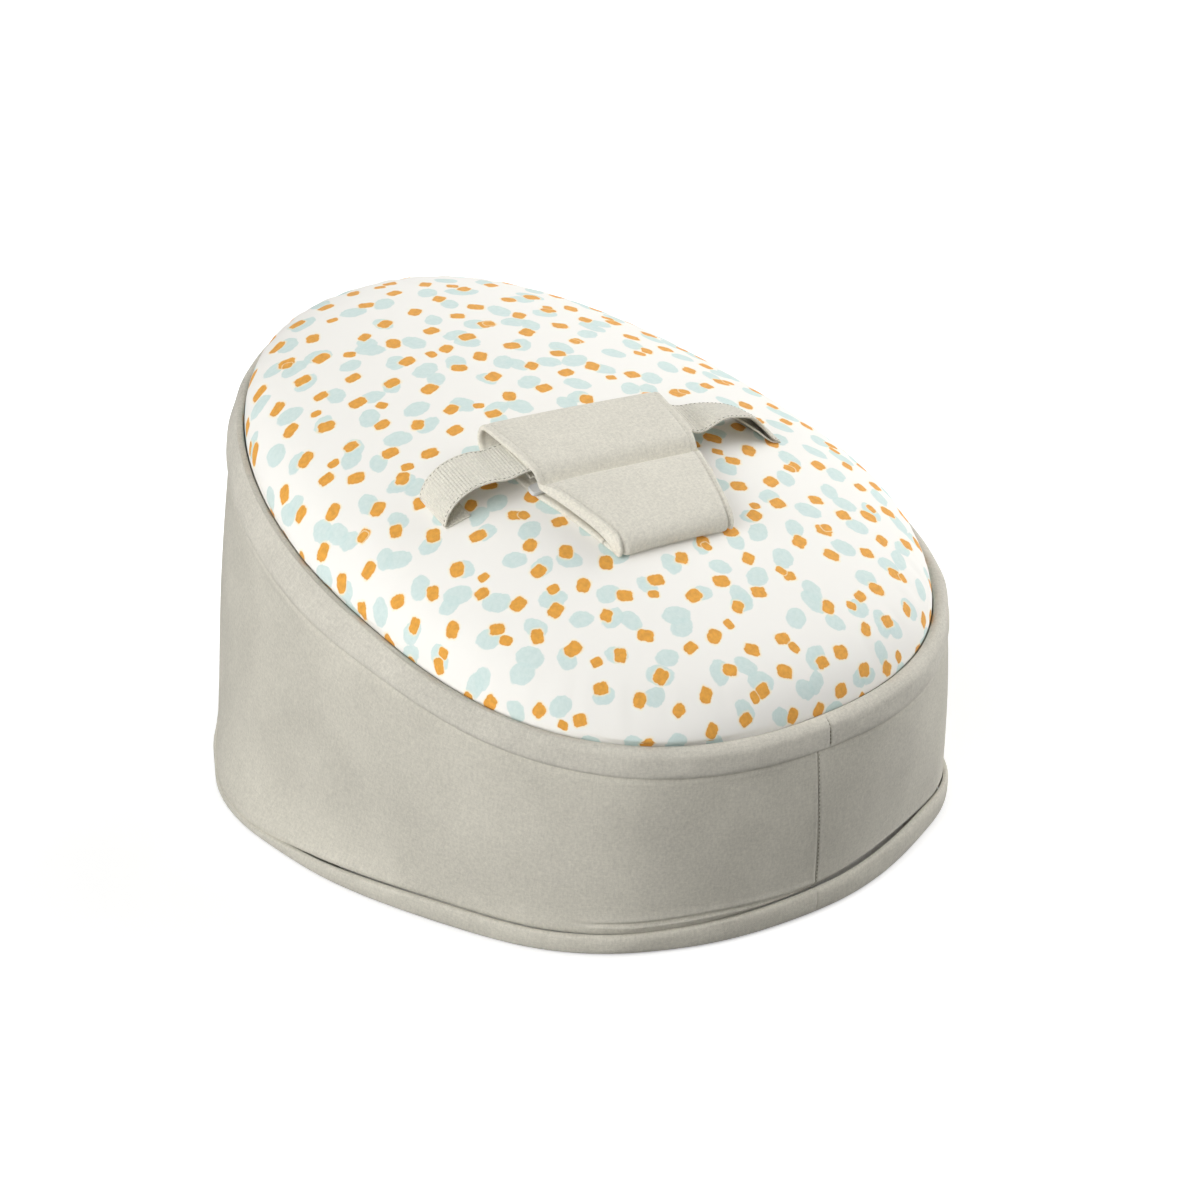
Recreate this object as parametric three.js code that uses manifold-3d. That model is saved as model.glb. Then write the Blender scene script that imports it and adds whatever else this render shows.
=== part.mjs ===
// Baby beanbag: an oval, bead-filled seat with a padded rim, a zip-off crowned cover and a
// three-point harness. The foot end is low and points along -Y, the head end is high.
import * as THREE from 'three';
import { mergeVertices } from 'three/addons/utils/BufferGeometryUtils.js';
import Module from 'manifold-3d';

const wasm = await Module();
wasm.setup();

// Overall sizes
const length = 600;
const base_half_width = 246;
const base_widest_y = 8;
const rim_half_width = 237;
const rim_widest_y = -65;
const foot_height = 166;
const head_height = 297;
const side_dip = 19.4;
const foot_seam_x = -14;
const wall_belly = 4;
const dome_height = 47;
const edge_puff = 30;
const base_roundness_share = 2.3;
const rim_roundness_share = 2.24;
const dome_roundness_share = 2.5;
const puff_roundness_share = 16;

// Clearances
const gap = 0.3;
const cut_overrun = 2;

// Cloth
const wall_thickness = 2.5;
const base_thickness = 2.5;
const cover_thickness = 2.5;
const bag_thickness = 1;

// Bands
const bottom_band_height = 19;
const bottom_band_bulge = 3;
const rim_band_height = 31;
const rim_band_width = 9.4;
const rim_band_bulge = 3;
const rim_skin_thickness = 1.5;

// Filled bag
const bag_clearance = 1;
const bag_edge_inset = 17.8;
const bag_shoulder_depth = 42;
const bag_shoulder_drop = 9;
const crown_shares = [0.16, 0.32, 0.48, 0.64, 0.78, 0.88, 0.94];
const under_shares = [0.32, 0.64, 0.88, 0.94];

// Zips
const tape_thickness = 0.8;
const coil_width = 3.6;
const coil_slot = 1.2;
const coil_thickness = 2.4;
const slider_length = 13;
const slider_width = 10;
const slider_plate = 1.2;
const slider_post = 0.4;
const slider_clearance = 0.6;
const rim_zip_inset = 13.4;
const rim_coil_depth = 23.6;
const rim_slider_offset = 34;
const rim_zip_split = 5;
const fill_zip_length = 380;
const fill_tape_width = 12;
const fill_slit_clearance = 0.7;
const fill_channel_height = 8.4;
const fill_mouth_width = 4;
const fill_mouth_length = 220;
const stop_length = 3;
const stop_thickness = 1.4;

// Harness place on the seat
const harness_x = -12;
const harness_y = -50;
const harness_turn_share = -0.05;

// Harness webbing and its buckle
const webbing_width = 40;
const webbing_thickness = 1.6;
const belt_offset = -5;
const anchor_reach = 149;
const anchor_tab = 22;
const anchor_radius = 4;
const arch_height = 26;
const buckle_height = 12;
const buckle_width = 48;
const buckle_wall = 2;
const socket_length = 36;
const prong_body_length = 30;
const prong_reach = 24;
const prong_arm_width = 5;
const webbing_bar = 4.4;
const webbing_slot = 3.4;
const ply_tail = 30;
const buckle_x = -12;

// Crotch strap and its flap
const flap_thickness = 4;
const flap_fold_y = 25;
const flap_crease_y = -39;
const flap_end_y = -110;
const flap_top_half = 74;
const flap_crease_half = 68;
const flap_end_half = 51;
const flap_top_shift = -12;
const flap_crease_shift = -8;
const flap_end_shift = -3;
const strap_end_y = -100;
const roll_radius = 7;
const strip_thickness = 1.5;
const strip_half = 48;
const strip_width = 22;
const strip_y = -66;
const settled_top_share = 0.1;

// Facets
const ring_steps = 48;
const head_splits = 3;
const half_turn = Math.PI;
const full_turn = 2 * Math.PI;
const head_zone = half_turn / 12;
const tiny_share = 1e-6;

const mid_height = (foot_height + head_height) / 2;
const rise = (head_height - foot_height) / 2;
const cover_inset = rim_band_width + 2 * gap;
const shoulder_share = 1 - (bag_edge_inset - cover_inset) / rim_half_width;
const buckle_bottom = 2 * gap + flap_thickness;
const buckle_mid = buckle_bottom + buckle_height / 2;
const flap_low = buckle_bottom + buckle_height + 4 * gap;
const flap_top = flap_low + flap_thickness;

const foot_angle = (3 * half_turn) / 2;
const head_angle = half_turn / 2;
const foot_seam_turn = Math.asin(Math.abs(foot_seam_x / base_half_width) ** (base_roundness_share / 2));
const foot_seam_angle = foot_angle + Math.sign(foot_seam_x) * foot_seam_turn;

// Angles round the outline, closer together at the head, where they are far apart in length
function ringAngles() {
  const angles = [foot_seam_angle];
  for (let i = 0; i < ring_steps; i += 1) {
    const t = (full_turn * i) / ring_steps;
    const at_head = t > half_turn / 2 - head_zone - tiny_share && t < half_turn / 2 + head_zone - tiny_share;
    const splits = at_head ? head_splits : 1;
    for (let k = 0; k < splits; k += 1) angles.push(t + (full_turn * k) / (ring_steps * splits));
  }
  angles.sort((a, b) => a - b);
  return angles;
}

const ring_angles = ringAngles();
const before_turn = ring_angles.filter((t) => t > foot_angle - tiny_share).map((t) => t - full_turn);
const right_angles = [...before_turn, ...ring_angles.filter((t) => t < head_angle + tiny_share)];
const past_seam = right_angles.slice(1).map((t) => half_turn - t);
const left_angles = [half_turn - right_angles[0], foot_seam_angle, ...past_seam];
const right_wall_angles = [foot_seam_angle - full_turn, ...right_angles];
const left_wall_angles = left_angles.slice(1);

// Places on the wall

function outlinePoint(half_width, widest_y, roundness_share, t) {
  const c = Math.cos(t);
  const s = Math.sin(t);
  const reach = s > 0 ? length / 2 - widest_y : length / 2 + widest_y;
  const cx = Math.sign(c) * Math.abs(c) ** (2 / roundness_share);
  const sy = Math.sign(s) * Math.abs(s) ** (2 / roundness_share);
  const nx = (Math.sign(c) * Math.abs(cx) ** (roundness_share - 1)) / half_width;
  const ny = (Math.sign(s) * Math.abs(sy) ** (roundness_share - 1)) / reach;
  const size = Math.hypot(nx, ny);
  return { x: half_width * cx, y: widest_y + reach * sy, nx: nx / size, ny: ny / size };
}

function rimHeight(t) {
  return mid_height + rise * Math.sin(t) - (side_dip * (1 + Math.cos(2 * t))) / 2;
}

// A point of the wall's outer surface at height z, moved outward by out
function wallPoint(t, z, out) {
  const low = outlinePoint(base_half_width, base_widest_y, base_roundness_share, t);
  const high = outlinePoint(rim_half_width, rim_widest_y, rim_roundness_share, t);
  const share = z / rimHeight(t);
  const nx = low.nx + (high.nx - low.nx) * share;
  const ny = low.ny + (high.ny - low.ny) * share;
  const size = Math.hypot(nx, ny);
  const reach = out + 4 * wall_belly * share * (1 - share);
  const x = low.x + (high.x - low.x) * share + (reach * nx) / size;
  const y = low.y + (high.y - low.y) * share + (reach * ny) / size;
  return [x, y, z];
}

// A point given from the top of the rim: out from the wall's surface and up
function rimPoint(t, out, up) {
  return wallPoint(t, rimHeight(t) + up, out);
}

// The seat's crowned surface, sunk by depth: share runs from 0 at the middle to 1 at the rim
function seatPoint(t, share, depth) {
  const edge = rimPoint(t, -cover_inset, 0);
  const reach = share * (1 - depth / rim_half_width);
  const flat = mid_height - side_dip / 2;
  const spread = rise * share * Math.sin(t) - (side_dip / 2) * share ** 2 * Math.cos(2 * t);
  const dome = dome_height * (1 - share ** dome_roundness_share);
  const puff = edge_puff * Math.sqrt(Math.max(0, 1 - share ** puff_roundness_share));
  const z = flat + spread + dome + puff - depth;
  return [edge[0] * reach, rim_widest_y + (edge[1] - rim_widest_y) * reach, z];
}

// Height of the cover's top over a place in plan
function coverHeight(x, y) {
  const aim = Math.atan2(y - rim_widest_y, x);
  let low = -half_turn;
  let high = half_turn;
  for (let i = 0; i < 40; i += 1) {
    const t = (low + high) / 2;
    const p = seatPoint(t, 1, 0);
    if (Math.atan2(p[1] - rim_widest_y, p[0]) < aim) low = t;
    else high = t;
  }
  const edge = seatPoint(low, 1, 0);
  const share = Math.hypot(x, y - rim_widest_y) / Math.hypot(edge[0], edge[1] - rim_widest_y);
  return seatPoint(low, Math.min(share, 1), 0)[2];
}

// Mesh making

function signedVolume(points, faces) {
  let sum = 0;
  for (const [a, b, c] of faces) {
    const [p, q, r] = [points[a], points[b], points[c]];
    sum += p[0] * (q[1] * r[2] - q[2] * r[1]);
    sum += p[1] * (q[2] * r[0] - q[0] * r[2]);
    sum += p[2] * (q[0] * r[1] - q[1] * r[0]);
  }
  return sum;
}

function makeBody(points, faces) {
  const out = signedVolume(points, faces) > 0;
  const index = faces.flatMap(([a, b, c]) => (out ? [a, b, c] : [a, c, b]));
  const geometry = new THREE.BufferGeometry();
  geometry.setAttribute('position', new THREE.Float32BufferAttribute(points.flat(), 3));
  geometry.setIndex(index);
  return geometry;
}

function quads(count, from, to, closed) {
  const faces = [];
  const last = closed ? count : count - 1;
  for (let j = 0; j < last; j += 1) {
    const k = (j + 1) % count;
    faces.push([from + j, to + j, to + k], [from + j, to + k, from + k]);
  }
  return faces;
}

// Joins closed sections, each a loop of points, into a closed ring
function sweepRing(section) {
  const points = ring_angles.flatMap(section);
  const count = section(0).length;
  const steps = ring_angles.length;
  const faces = ring_angles.flatMap((_, i) => quads(count, i * count, ((i + 1) % steps) * count, true));
  return makeBody(points, faces);
}

// Joins closed sections at the given stations into a body, and closes its ends with the cap's faces
function sweepRun(section, stations, cap) {
  const points = stations.flatMap(section);
  const count = section(stations[0]).length;
  const last = (stations.length - 1) * count;
  const faces = stations.slice(1).flatMap((_, i) => quads(count, i * count, (i + 1) * count, true));
  for (const [a, b, c] of cap) faces.push([a, b, c], [last + a, last + c, last + b]);
  return makeBody(points, faces);
}

// An end of a strip: each point of the path goes with its partner on the way back
function stripCap(count) {
  const faces = [];
  for (let i = 0; i < count / 2 - 1; i += 1) {
    const back = count - 1 - i;
    faces.push([i, i + 1, back - 1], [i, back - 1, back]);
  }
  return faces;
}

// An end of any other section
function outlineCap(outline) {
  const flat = outline.map(([a, b]) => new THREE.Vector2(a, b));
  const side = Math.sign(THREE.ShapeUtils.area(flat));
  return THREE.ShapeUtils.triangulateShape(flat, []).map((face) => {
    const turned = Math.sign(THREE.ShapeUtils.area(face.map((i) => flat[i]))) !== side;
    return turned ? face.reverse() : face;
  });
}

// A disc-like body: the section runs from beside the top middle, round the edge, to beside the
// bottom middle
function sweepDisc(section, top, bottom) {
  const points = ring_angles.flatMap(section);
  const count = section(0).length;
  const steps = ring_angles.length;
  const top_index = points.length;
  points.push(top, bottom);
  const faces = [];
  for (let i = 0; i < steps; i += 1) {
    const from = i * count;
    const to = ((i + 1) % steps) * count;
    faces.push([top_index, to, from], [top_index + 1, from + count - 1, to + count - 1]);
    faces.push(...quads(count, from, to, false));
  }
  return makeBody(points, faces);
}

// Moves a path sideways by a distance, to its left
function offsetPath(path, distance) {
  return path.map((p, i) => {
    const before = path[Math.max(i - 1, 0)];
    const after = path[Math.min(i + 1, path.length - 1)];
    const first = unit(i > 0 ? before : p, i > 0 ? p : after);
    const second = unit(i + 1 < path.length ? p : before, i + 1 < path.length ? after : p);
    const nx = -(first[1] + second[1]);
    const ny = first[0] + second[0];
    const scale = distance / ((nx * -first[1] + ny * first[0]) || 1);
    return [p[0] + nx * scale, p[1] + ny * scale];
  });
}

function unit(from, to) {
  const size = Math.hypot(to[0] - from[0], to[1] - from[1]);
  return [(to[0] - from[0]) / size, (to[1] - from[1]) / size];
}

// A strip's closed section: the path and, thickness away to its left, the way back
function stripSection(path, thickness) {
  return [...path, ...offsetPath(path, thickness).reverse()];
}

// Points on an arc in the plane
function arcPoints(cx, cy, radius, from, to, steps) {
  const points = [];
  for (let i = 0; i <= steps; i += 1) {
    const a = from + ((to - from) * i) / steps;
    points.push([cx + radius * Math.cos(a), cy + radius * Math.sin(a)]);
  }
  return points;
}

function evenStations(from, to, steps) {
  return Array.from({ length: steps + 1 }, (_, i) => from + ((to - from) * i) / steps);
}

function toManifold(geometry) {
  const clean = geometry.clone();
  for (const name of Object.keys(clean.attributes)) {
    if (name !== 'position') clean.deleteAttribute(name);
  }
  const merged = mergeVertices(clean);
  return new wasm.Manifold(new wasm.Mesh({
    numProp: 3,
    vertProperties: new Float32Array(merged.attributes.position.array),
    triVerts: new Uint32Array(merged.index.array),
  }));
}

function fromManifold(solid) {
  const mesh = solid.getMesh();
  const geometry = new THREE.BufferGeometry();
  const places = new Float32Array(mesh.vertProperties);
  geometry.setAttribute('position', new THREE.BufferAttribute(places, 3));
  geometry.setIndex(new THREE.BufferAttribute(new Uint32Array(mesh.triVerts), 1));
  return geometry;
}

function boxAt(x0, x1, y0, y1, z0, z1) {
  const box = new THREE.BoxGeometry(x1 - x0, y1 - y0, z1 - z0);
  box.translate((x0 + x1) / 2, (y0 + y1) / 2, (z0 + z1) / 2);
  return box;
}

function plate(points, z0, z1) {
  const shape = new THREE.Shape(points.map(([x, y]) => new THREE.Vector2(x, y)));
  const body = new THREE.ExtrudeGeometry(shape, { depth: z1 - z0, bevelEnabled: false });
  body.translate(0, 0, z0);
  return body;
}

// Cloth shell

// One half of a ring piece, with a small gap at the foot and head seams
function halfRing(section, cap, side) {
  const held = (t) => section(t).map(([x, y, z]) => {
    const seam = y < 0 ? foot_seam_x : 0;
    return [seam + side * Math.max(side * (x - seam), gap / 2), y, z];
  });
  return sweepRun(held, side < 0 ? left_wall_angles : right_wall_angles, cap);
}

function sideWall(side) {
  const level_shares = [0, 0.33, 0.66, 1];
  const low = bottom_band_height + gap;
  const backwards = [...level_shares].reverse();
  const section = (t) => {
    const high = rimHeight(t) - rim_band_height - gap;
    const outer = level_shares.map((s) => wallPoint(t, low + (high - low) * s, 0));
    return [...outer, ...backwards.map((s) => wallPoint(t, low + (high - low) * s, -wall_thickness))];
  };
  return halfRing(section, stripCap(2 * level_shares.length), side);
}

function bottomBand(side) {
  const bulge_shares = [[0.3, 0], [0.9, 0.15], [1, 0.5], [0.7, 0.85], [0.1, 1]];
  const profile = bulge_shares.map(([o, h]) => [o * bottom_band_bulge, h * bottom_band_height]);
  profile.push([-wall_thickness, bottom_band_height], [-wall_thickness, 0]);
  return halfRing((t) => profile.map(([o, h]) => wallPoint(t, h, o)), outlineCap(profile), side);
}

// The rim band's skin, from its inner lower end over the top to its seam on the wall: shares of
// its width, of its bulge and of its height
function rimSkinPath() {
  const skin_shares = [[-0.62, 0, -1], [-1, 0, -0.93], [-1, 0, -0.22], [-0.82, 0, -0.07], [-0.4, 0, 0],
    [0, 0.3, -0.05], [0, 0.85, -0.22], [0, 1, -0.5], [0, 0.8, -0.8], [0, 0.12, -0.985], [-0.34, 0, -1]];
  return skin_shares.map(([a, b, c]) => [a * rim_band_width + b * rim_band_bulge, c * rim_band_height]);
}

// A ring of one flat section, given from the top of the rim
function rimRing(profile) {
  return sweepRing((t) => profile.map(([o, h]) => rimPoint(t, o, h)));
}

function rimBand() {
  return rimRing(stripSection(rimSkinPath(), -rim_skin_thickness));
}

function rimWadding() {
  return rimRing(offsetPath(rimSkinPath(), -rim_skin_thickness - gap).slice(1, -1));
}

// One half of the base panel: its straight edge leaves a slit for the zip
function basePanel(side) {
  const slit_half = slider_width / 2 + fill_slit_clearance;
  const angles = side < 0 ? left_angles : right_angles;
  const edge = angles.map((t) => wallPoint(t, 0, -wall_thickness - gap));
  const points = edge.map(([x, y]) => [side * Math.max(side * x, gap / 2), y]);
  const end = fill_zip_length / 2;
  const slit = [[gap / 2, end], [slit_half, end], [slit_half, -end], [gap / 2, -end]];
  points.push(...slit.map(([x, y]) => [side * x, y]));
  return plate(points, 0, base_thickness);
}

// Fill

// Outer surface of the filled bag, sunk by inset, from beside the top middle to beside the bottom
function fillSection(t, inset) {
  const depth = cover_thickness + 2 * gap + inset;
  const rows = under_shares.map((s) => seatPoint(t, s, depth));
  const shoulder = seatPoint(t, shoulder_share, depth);
  const wall_inset = -wall_thickness - bag_clearance - inset;
  rows.push(shoulder);
  rows.push([shoulder[0], shoulder[1], rimHeight(t) - bag_shoulder_depth]);
  rows.push(rimPoint(t, wall_inset, -bag_shoulder_depth - bag_shoulder_drop));
  rows.push(wallPoint(t, foot_height / 3, wall_inset));
  rows.push(wallPoint(t, base_thickness + gap + inset, wall_inset));
  return rows;
}

function fillSolid(inset) {
  const top = seatPoint(0, 0, cover_thickness + 2 * gap + inset);
  const bottom = [0, 0, base_thickness + gap + inset];
  return toManifold(sweepDisc((t) => fillSection(t, inset), top, bottom));
}

// The space kept free over the fill zip, grown by extra
function fillChannel(extra) {
  const half = fill_tape_width + coil_width + extra;
  const end = fill_zip_length / 2 + stop_length + extra;
  const top = fill_channel_height + extra;
  return toManifold(boxAt(-half, half, -end, end, -cut_overrun, top));
}

function innerBag() {
  const outer = fillSolid(0).subtract(fillChannel(0));
  const inner = fillSolid(bag_thickness).subtract(fillChannel(bag_thickness));
  const half = fill_mouth_width / 2;
  const end = fill_mouth_length / 2;
  const high = fill_channel_height + bag_thickness + cut_overrun;
  const mouth = toManifold(boxAt(-half, half, -end, end, base_thickness, high));
  return fromManifold(outer.subtract(inner).subtract(mouth));
}

function beadFilling() {
  const sunk = bag_thickness + gap;
  return fromManifold(fillSolid(sunk).subtract(fillChannel(sunk)));
}

// Cover

function seatCover() {
  const edge_shares = [shoulder_share, 0.985, 1];
  const under = [...under_shares, ...edge_shares].reverse();
  const section = (t) => {
    const lip = seatPoint(t, 1, 0);
    return [
      ...[...crown_shares, ...edge_shares].map((s) => seatPoint(t, s, 0)),
      [lip[0], lip[1], lip[2] - cover_thickness],
      ...under.map((s) => seatPoint(t, s, cover_thickness)),
    ];
  };
  return sweepDisc(section, seatPoint(0, 0, 0), seatPoint(0, 0, cover_thickness));
}

// Rim zip: its ribbon hangs in the groove between the rim band and the filled bag

function rimTapeOuter() {
  const coil_low = -rim_coil_depth - coil_width / 2 - gap;
  const seam = -rim_band_height - gap;
  const out = -rim_zip_inset + tape_thickness / 2;
  const inner = -wall_thickness - 2 * gap;
  const path = [[inner, seam], [-rim_band_width, seam], [out, (coil_low + seam) / 2], [out, coil_low]];
  return rimRing(stripSection(path, tape_thickness));
}

function rimTapeInner() {
  const coil_high = -rim_coil_depth + coil_width / 2 + gap;
  const top = -cover_thickness - gap;
  const out = -rim_zip_inset + tape_thickness / 2;
  const under_lip = -cover_inset - cover_thickness / 2 + tape_thickness / 2;
  const path = [[out, coil_high], [out, coil_high / 2], [under_lip, 2 * top], [under_lip, top]];
  return rimRing(stripSection(path, tape_thickness));
}

// The angle on the outline whose point at the head lies at x
function headAngle(x) {
  let low = half_turn / 4;
  let high = (3 * half_turn) / 4;
  for (let i = 0; i < 40; i += 1) {
    const t = (low + high) / 2;
    if (rimPoint(t, -rim_zip_inset, -rim_coil_depth)[0] > x) low = t;
    else high = t;
  }
  return low;
}

// One half of the coil, below (-1) or above (1) its middle line, open where the slider is parked
function rimCoil(side) {
  const half_t = coil_thickness / 2;
  const near = (side * coil_slot) / 2;
  const far = (side * coil_width) / 2;
  const corners = [[-half_t, near], [half_t, near], [half_t, far], [-half_t, far]];
  const profile = corners.map(([o, h]) => [o - rim_zip_inset, h - rim_coil_depth]);
  const parked = slider_length / 2 + gap;
  const start = headAngle(rim_slider_offset - parked);
  const end = headAngle(rim_slider_offset + parked + rim_zip_split) + full_turn;
  const turns = [...ring_angles, ...ring_angles.map((t) => t + full_turn)];
  const stations = [start, ...turns.filter((t) => t > start && t < end), end];
  return sweepRun((t) => profile.map(([o, h]) => rimPoint(t, o, h)), stations, stripCap(profile.length));
}

// A slider in its own frame: it runs along X, its plates face Z and the tapes leave along Y. Its
// post passes between the coil's halves
function zipSlider() {
  const half_l = slider_length / 2;
  const half_w = slider_width / 2;
  const half_h = coil_thickness / 2 + slider_clearance;
  const slot = tape_thickness / 2 + slider_clearance;
  const nose = slider_width / 4;
  const outline = [[-half_l, -nose], [-half_l + nose, -half_w], [half_l, -half_w], [half_l, half_w],
    [-half_l + nose, half_w], [-half_l, nose]];
  const whole = toManifold(plate(outline, -half_h - slider_plate, half_h + slider_plate));
  const inside = coil_width / 2 + slider_clearance;
  const past = half_l + cut_overrun;
  const wide = half_w + cut_overrun;
  const hollow = toManifold(boxAt(-past, past, -inside, inside, -half_h, half_h));
  const slots = toManifold(boxAt(-past, past, -wide, wide, -slot, slot));
  const post_low = half_l / 2;
  const post_half = slider_post / 2;
  const reach = half_h + slider_plate / 2;
  const post = toManifold(boxAt(-post_low, post_low, -post_half, post_half, -reach, reach));
  return whole.subtract(hollow).subtract(slots).add(post);
}

function rimSlider() {
  const spot = (offset) => {
    const t = headAngle(rim_slider_offset + offset);
    return new THREE.Vector3(...rimPoint(t, -rim_zip_inset, -rim_coil_depth));
  };
  const along = spot(-slider_length / 2).sub(spot(slider_length / 2)).normalize();
  const across = new THREE.Vector3(0, 0, 1).cross(along).cross(along).negate().normalize();
  const face = new THREE.Vector3().crossVectors(along, across);
  const place = new THREE.Matrix4().makeBasis(along, across, face);
  place.setPosition(spot(0));
  return fromManifold(zipSlider()).applyMatrix4(place);
}

// Fill zip in the base: the tapes lie on the panels' inner side, the coil in the slit's middle line

const fill_tape_low = base_thickness + gap;
const fill_zip_level = fill_tape_low + tape_thickness / 2;
const fill_parked = fill_zip_length / 2 - stop_length - gap - slider_length / 2;

function spanBox(a, b, y0, y1, z0, z1) {
  return boxAt(Math.min(a, b), Math.max(a, b), y0, y1, z0, z1);
}

function fillTape(side) {
  const inner = coil_width / 2 + gap;
  const end = fill_zip_length / 2;
  const outer = inner + fill_tape_width;
  return spanBox(side * inner, side * outer, -end, end, fill_tape_low, fill_tape_low + tape_thickness);
}

function fillCoil(side) {
  const low = fill_zip_level - coil_thickness / 2;
  const foot = -fill_zip_length / 2 + stop_length + gap;
  const near = (side * coil_slot) / 2;
  return spanBox(near, (side * coil_width) / 2, foot, fill_parked, low, low + coil_thickness);
}

function fillSlider() {
  const body = fromManifold(zipSlider());
  body.rotateZ(-half_turn / 2);
  body.translate(0, fill_parked, fill_zip_level);
  return body;
}

function fillStop(end) {
  const half = slider_width / 2 - gap;
  const low = fill_tape_low + tape_thickness + gap;
  const outer = (end * fill_zip_length) / 2;
  const inner = outer - end * stop_length;
  const y0 = Math.min(inner, outer);
  return boxAt(-half, half, y0, y0 + stop_length, low, low + stop_thickness);
}

// Harness frame: u runs across the seat, v towards the head and w off the cover

const turn = harness_turn_share * half_turn;
const harness_centre = new THREE.Vector3(harness_x, harness_y, coverHeight(harness_x, harness_y));
const slope_x = coverHeight(harness_x + gap, harness_y) - coverHeight(harness_x - gap, harness_y);
const slope_y = coverHeight(harness_x, harness_y + gap) - coverHeight(harness_x, harness_y - gap);
const seat_normal = new THREE.Vector3(-slope_x, -slope_y, 2 * gap).normalize();
const across_seat = new THREE.Vector3(Math.cos(turn), Math.sin(turn), 0);
const up_seat = new THREE.Vector3().crossVectors(seat_normal, across_seat).normalize();
across_seat.crossVectors(up_seat, seat_normal);
const harness_matrix = new THREE.Matrix4().makeBasis(across_seat, up_seat, seat_normal);
harness_matrix.setPosition(harness_centre);

// How far the cover lies below the harness plane
function drop(u, v) {
  let w = 0;
  for (let i = 0; i < 8; i += 1) {
    const p = new THREE.Vector3(u, v, w).applyMatrix4(harness_matrix);
    w += (coverHeight(p.x, p.y) - p.z) * seat_normal.z;
  }
  return -w;
}

// A measure that changes evenly from the fold to the crease and from there to the flap's end
function alongFlap(v, at_fold, at_crease, at_end) {
  const over = Math.min(Math.max((v - flap_crease_y) / (flap_fold_y - flap_crease_y), 0), 1);
  const below = Math.min(Math.max((flap_crease_y - v) / (flap_crease_y - flap_end_y), 0), 1);
  return at_crease + (at_fold - at_crease) * over + (at_end - at_crease) * below;
}

function flapHalf(v) {
  return alongFlap(v, flap_top_half, flap_crease_half, flap_end_half);
}

function flapShift(v) {
  return alongFlap(v, flap_top_shift, flap_crease_shift, flap_end_shift);
}

// Lowers a pad's point onto the cover: wholly at the bottom, and at the top mostly along v alone
function settled(u, v, w) {
  const height_share = Math.min(Math.max((w - buckle_bottom) / (flap_top - buckle_bottom), 0), 1);
  const follow_share = 1 - (1 - settled_top_share) * height_share;
  const middle = drop(flapShift(v), v);
  return w - middle - (drop(u, v) - middle) * follow_share;
}

// Sweeps a profile in v and w across the pad's width
function padBody(profile, halfWidth) {
  const section = (s) => profile.map(([v, w]) => {
    const u = flapShift(v) + s * halfWidth(v);
    return [u, v, settled(u, v, w)];
  });
  return sweepRun(section, evenStations(-1, 1, 8), stripCap(profile.length));
}

// From its lower end, under the buckle and half way round the fold at the head side
function crotchStrap() {
  const low = gap + flap_thickness;
  const inner = (flap_low - low) / 2;
  const run = evenStations(strap_end_y, flap_fold_y, 18).map((v) => [v, low]);
  const bend = arcPoints(flap_fold_y, low + inner, inner, -half_turn / 2, half_turn / 2, 8).slice(1);
  return padBody(stripSection([...run, ...bend], -flap_thickness), flapHalf);
}

// From the fold over the buckle, down to the crease and out to its rolled end
function crotchFlap() {
  const crease_low = 4 * gap + flap_thickness + 2 * strip_thickness;
  const upper_shares = [[0, 0], [0.25, 0.08], [0.55, 0.08], [0.78, 0.1], [0.87, 0.08], [0.95, -0.55],
    [1, -1]];
  const reach = flap_fold_y - flap_crease_y - gap;
  const fall = flap_low - crease_low;
  const upper = upper_shares.map(([a, b]) => [flap_fold_y - gap - reach * a, flap_low + fall * b]);
  const roll_mid = gap + flap_thickness / 2 + roll_radius;
  const inner = roll_radius - flap_thickness / 2;
  const run = flap_crease_y - flap_end_y;
  const lift = roll_mid + inner - crease_low;
  const lower_shares = [[0.12, 0.02], [0.35, 0.04], [0.55, 0.2], [0.75, 0.6], [0.9, 0.92]];
  const lower = lower_shares.map(([a, b]) => [flap_crease_y - run * a, crease_low + lift * b]);
  const roll = arcPoints(flap_end_y, roll_mid, inner, half_turn / 2, (3 * half_turn) / 2, 8);
  const tail = [flap_end_y + flap_thickness, roll_mid - inner];
  return padBody(stripSection([...upper, ...lower, ...roll, tail], -flap_thickness), flapHalf);
}

function closureStrip(low) {
  const half = strip_width / 2;
  const path = [strip_y + half, strip_y, strip_y - half].map((v) => [v, low]);
  return padBody(stripSection(path, -strip_thickness), () => strip_half);
}

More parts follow.
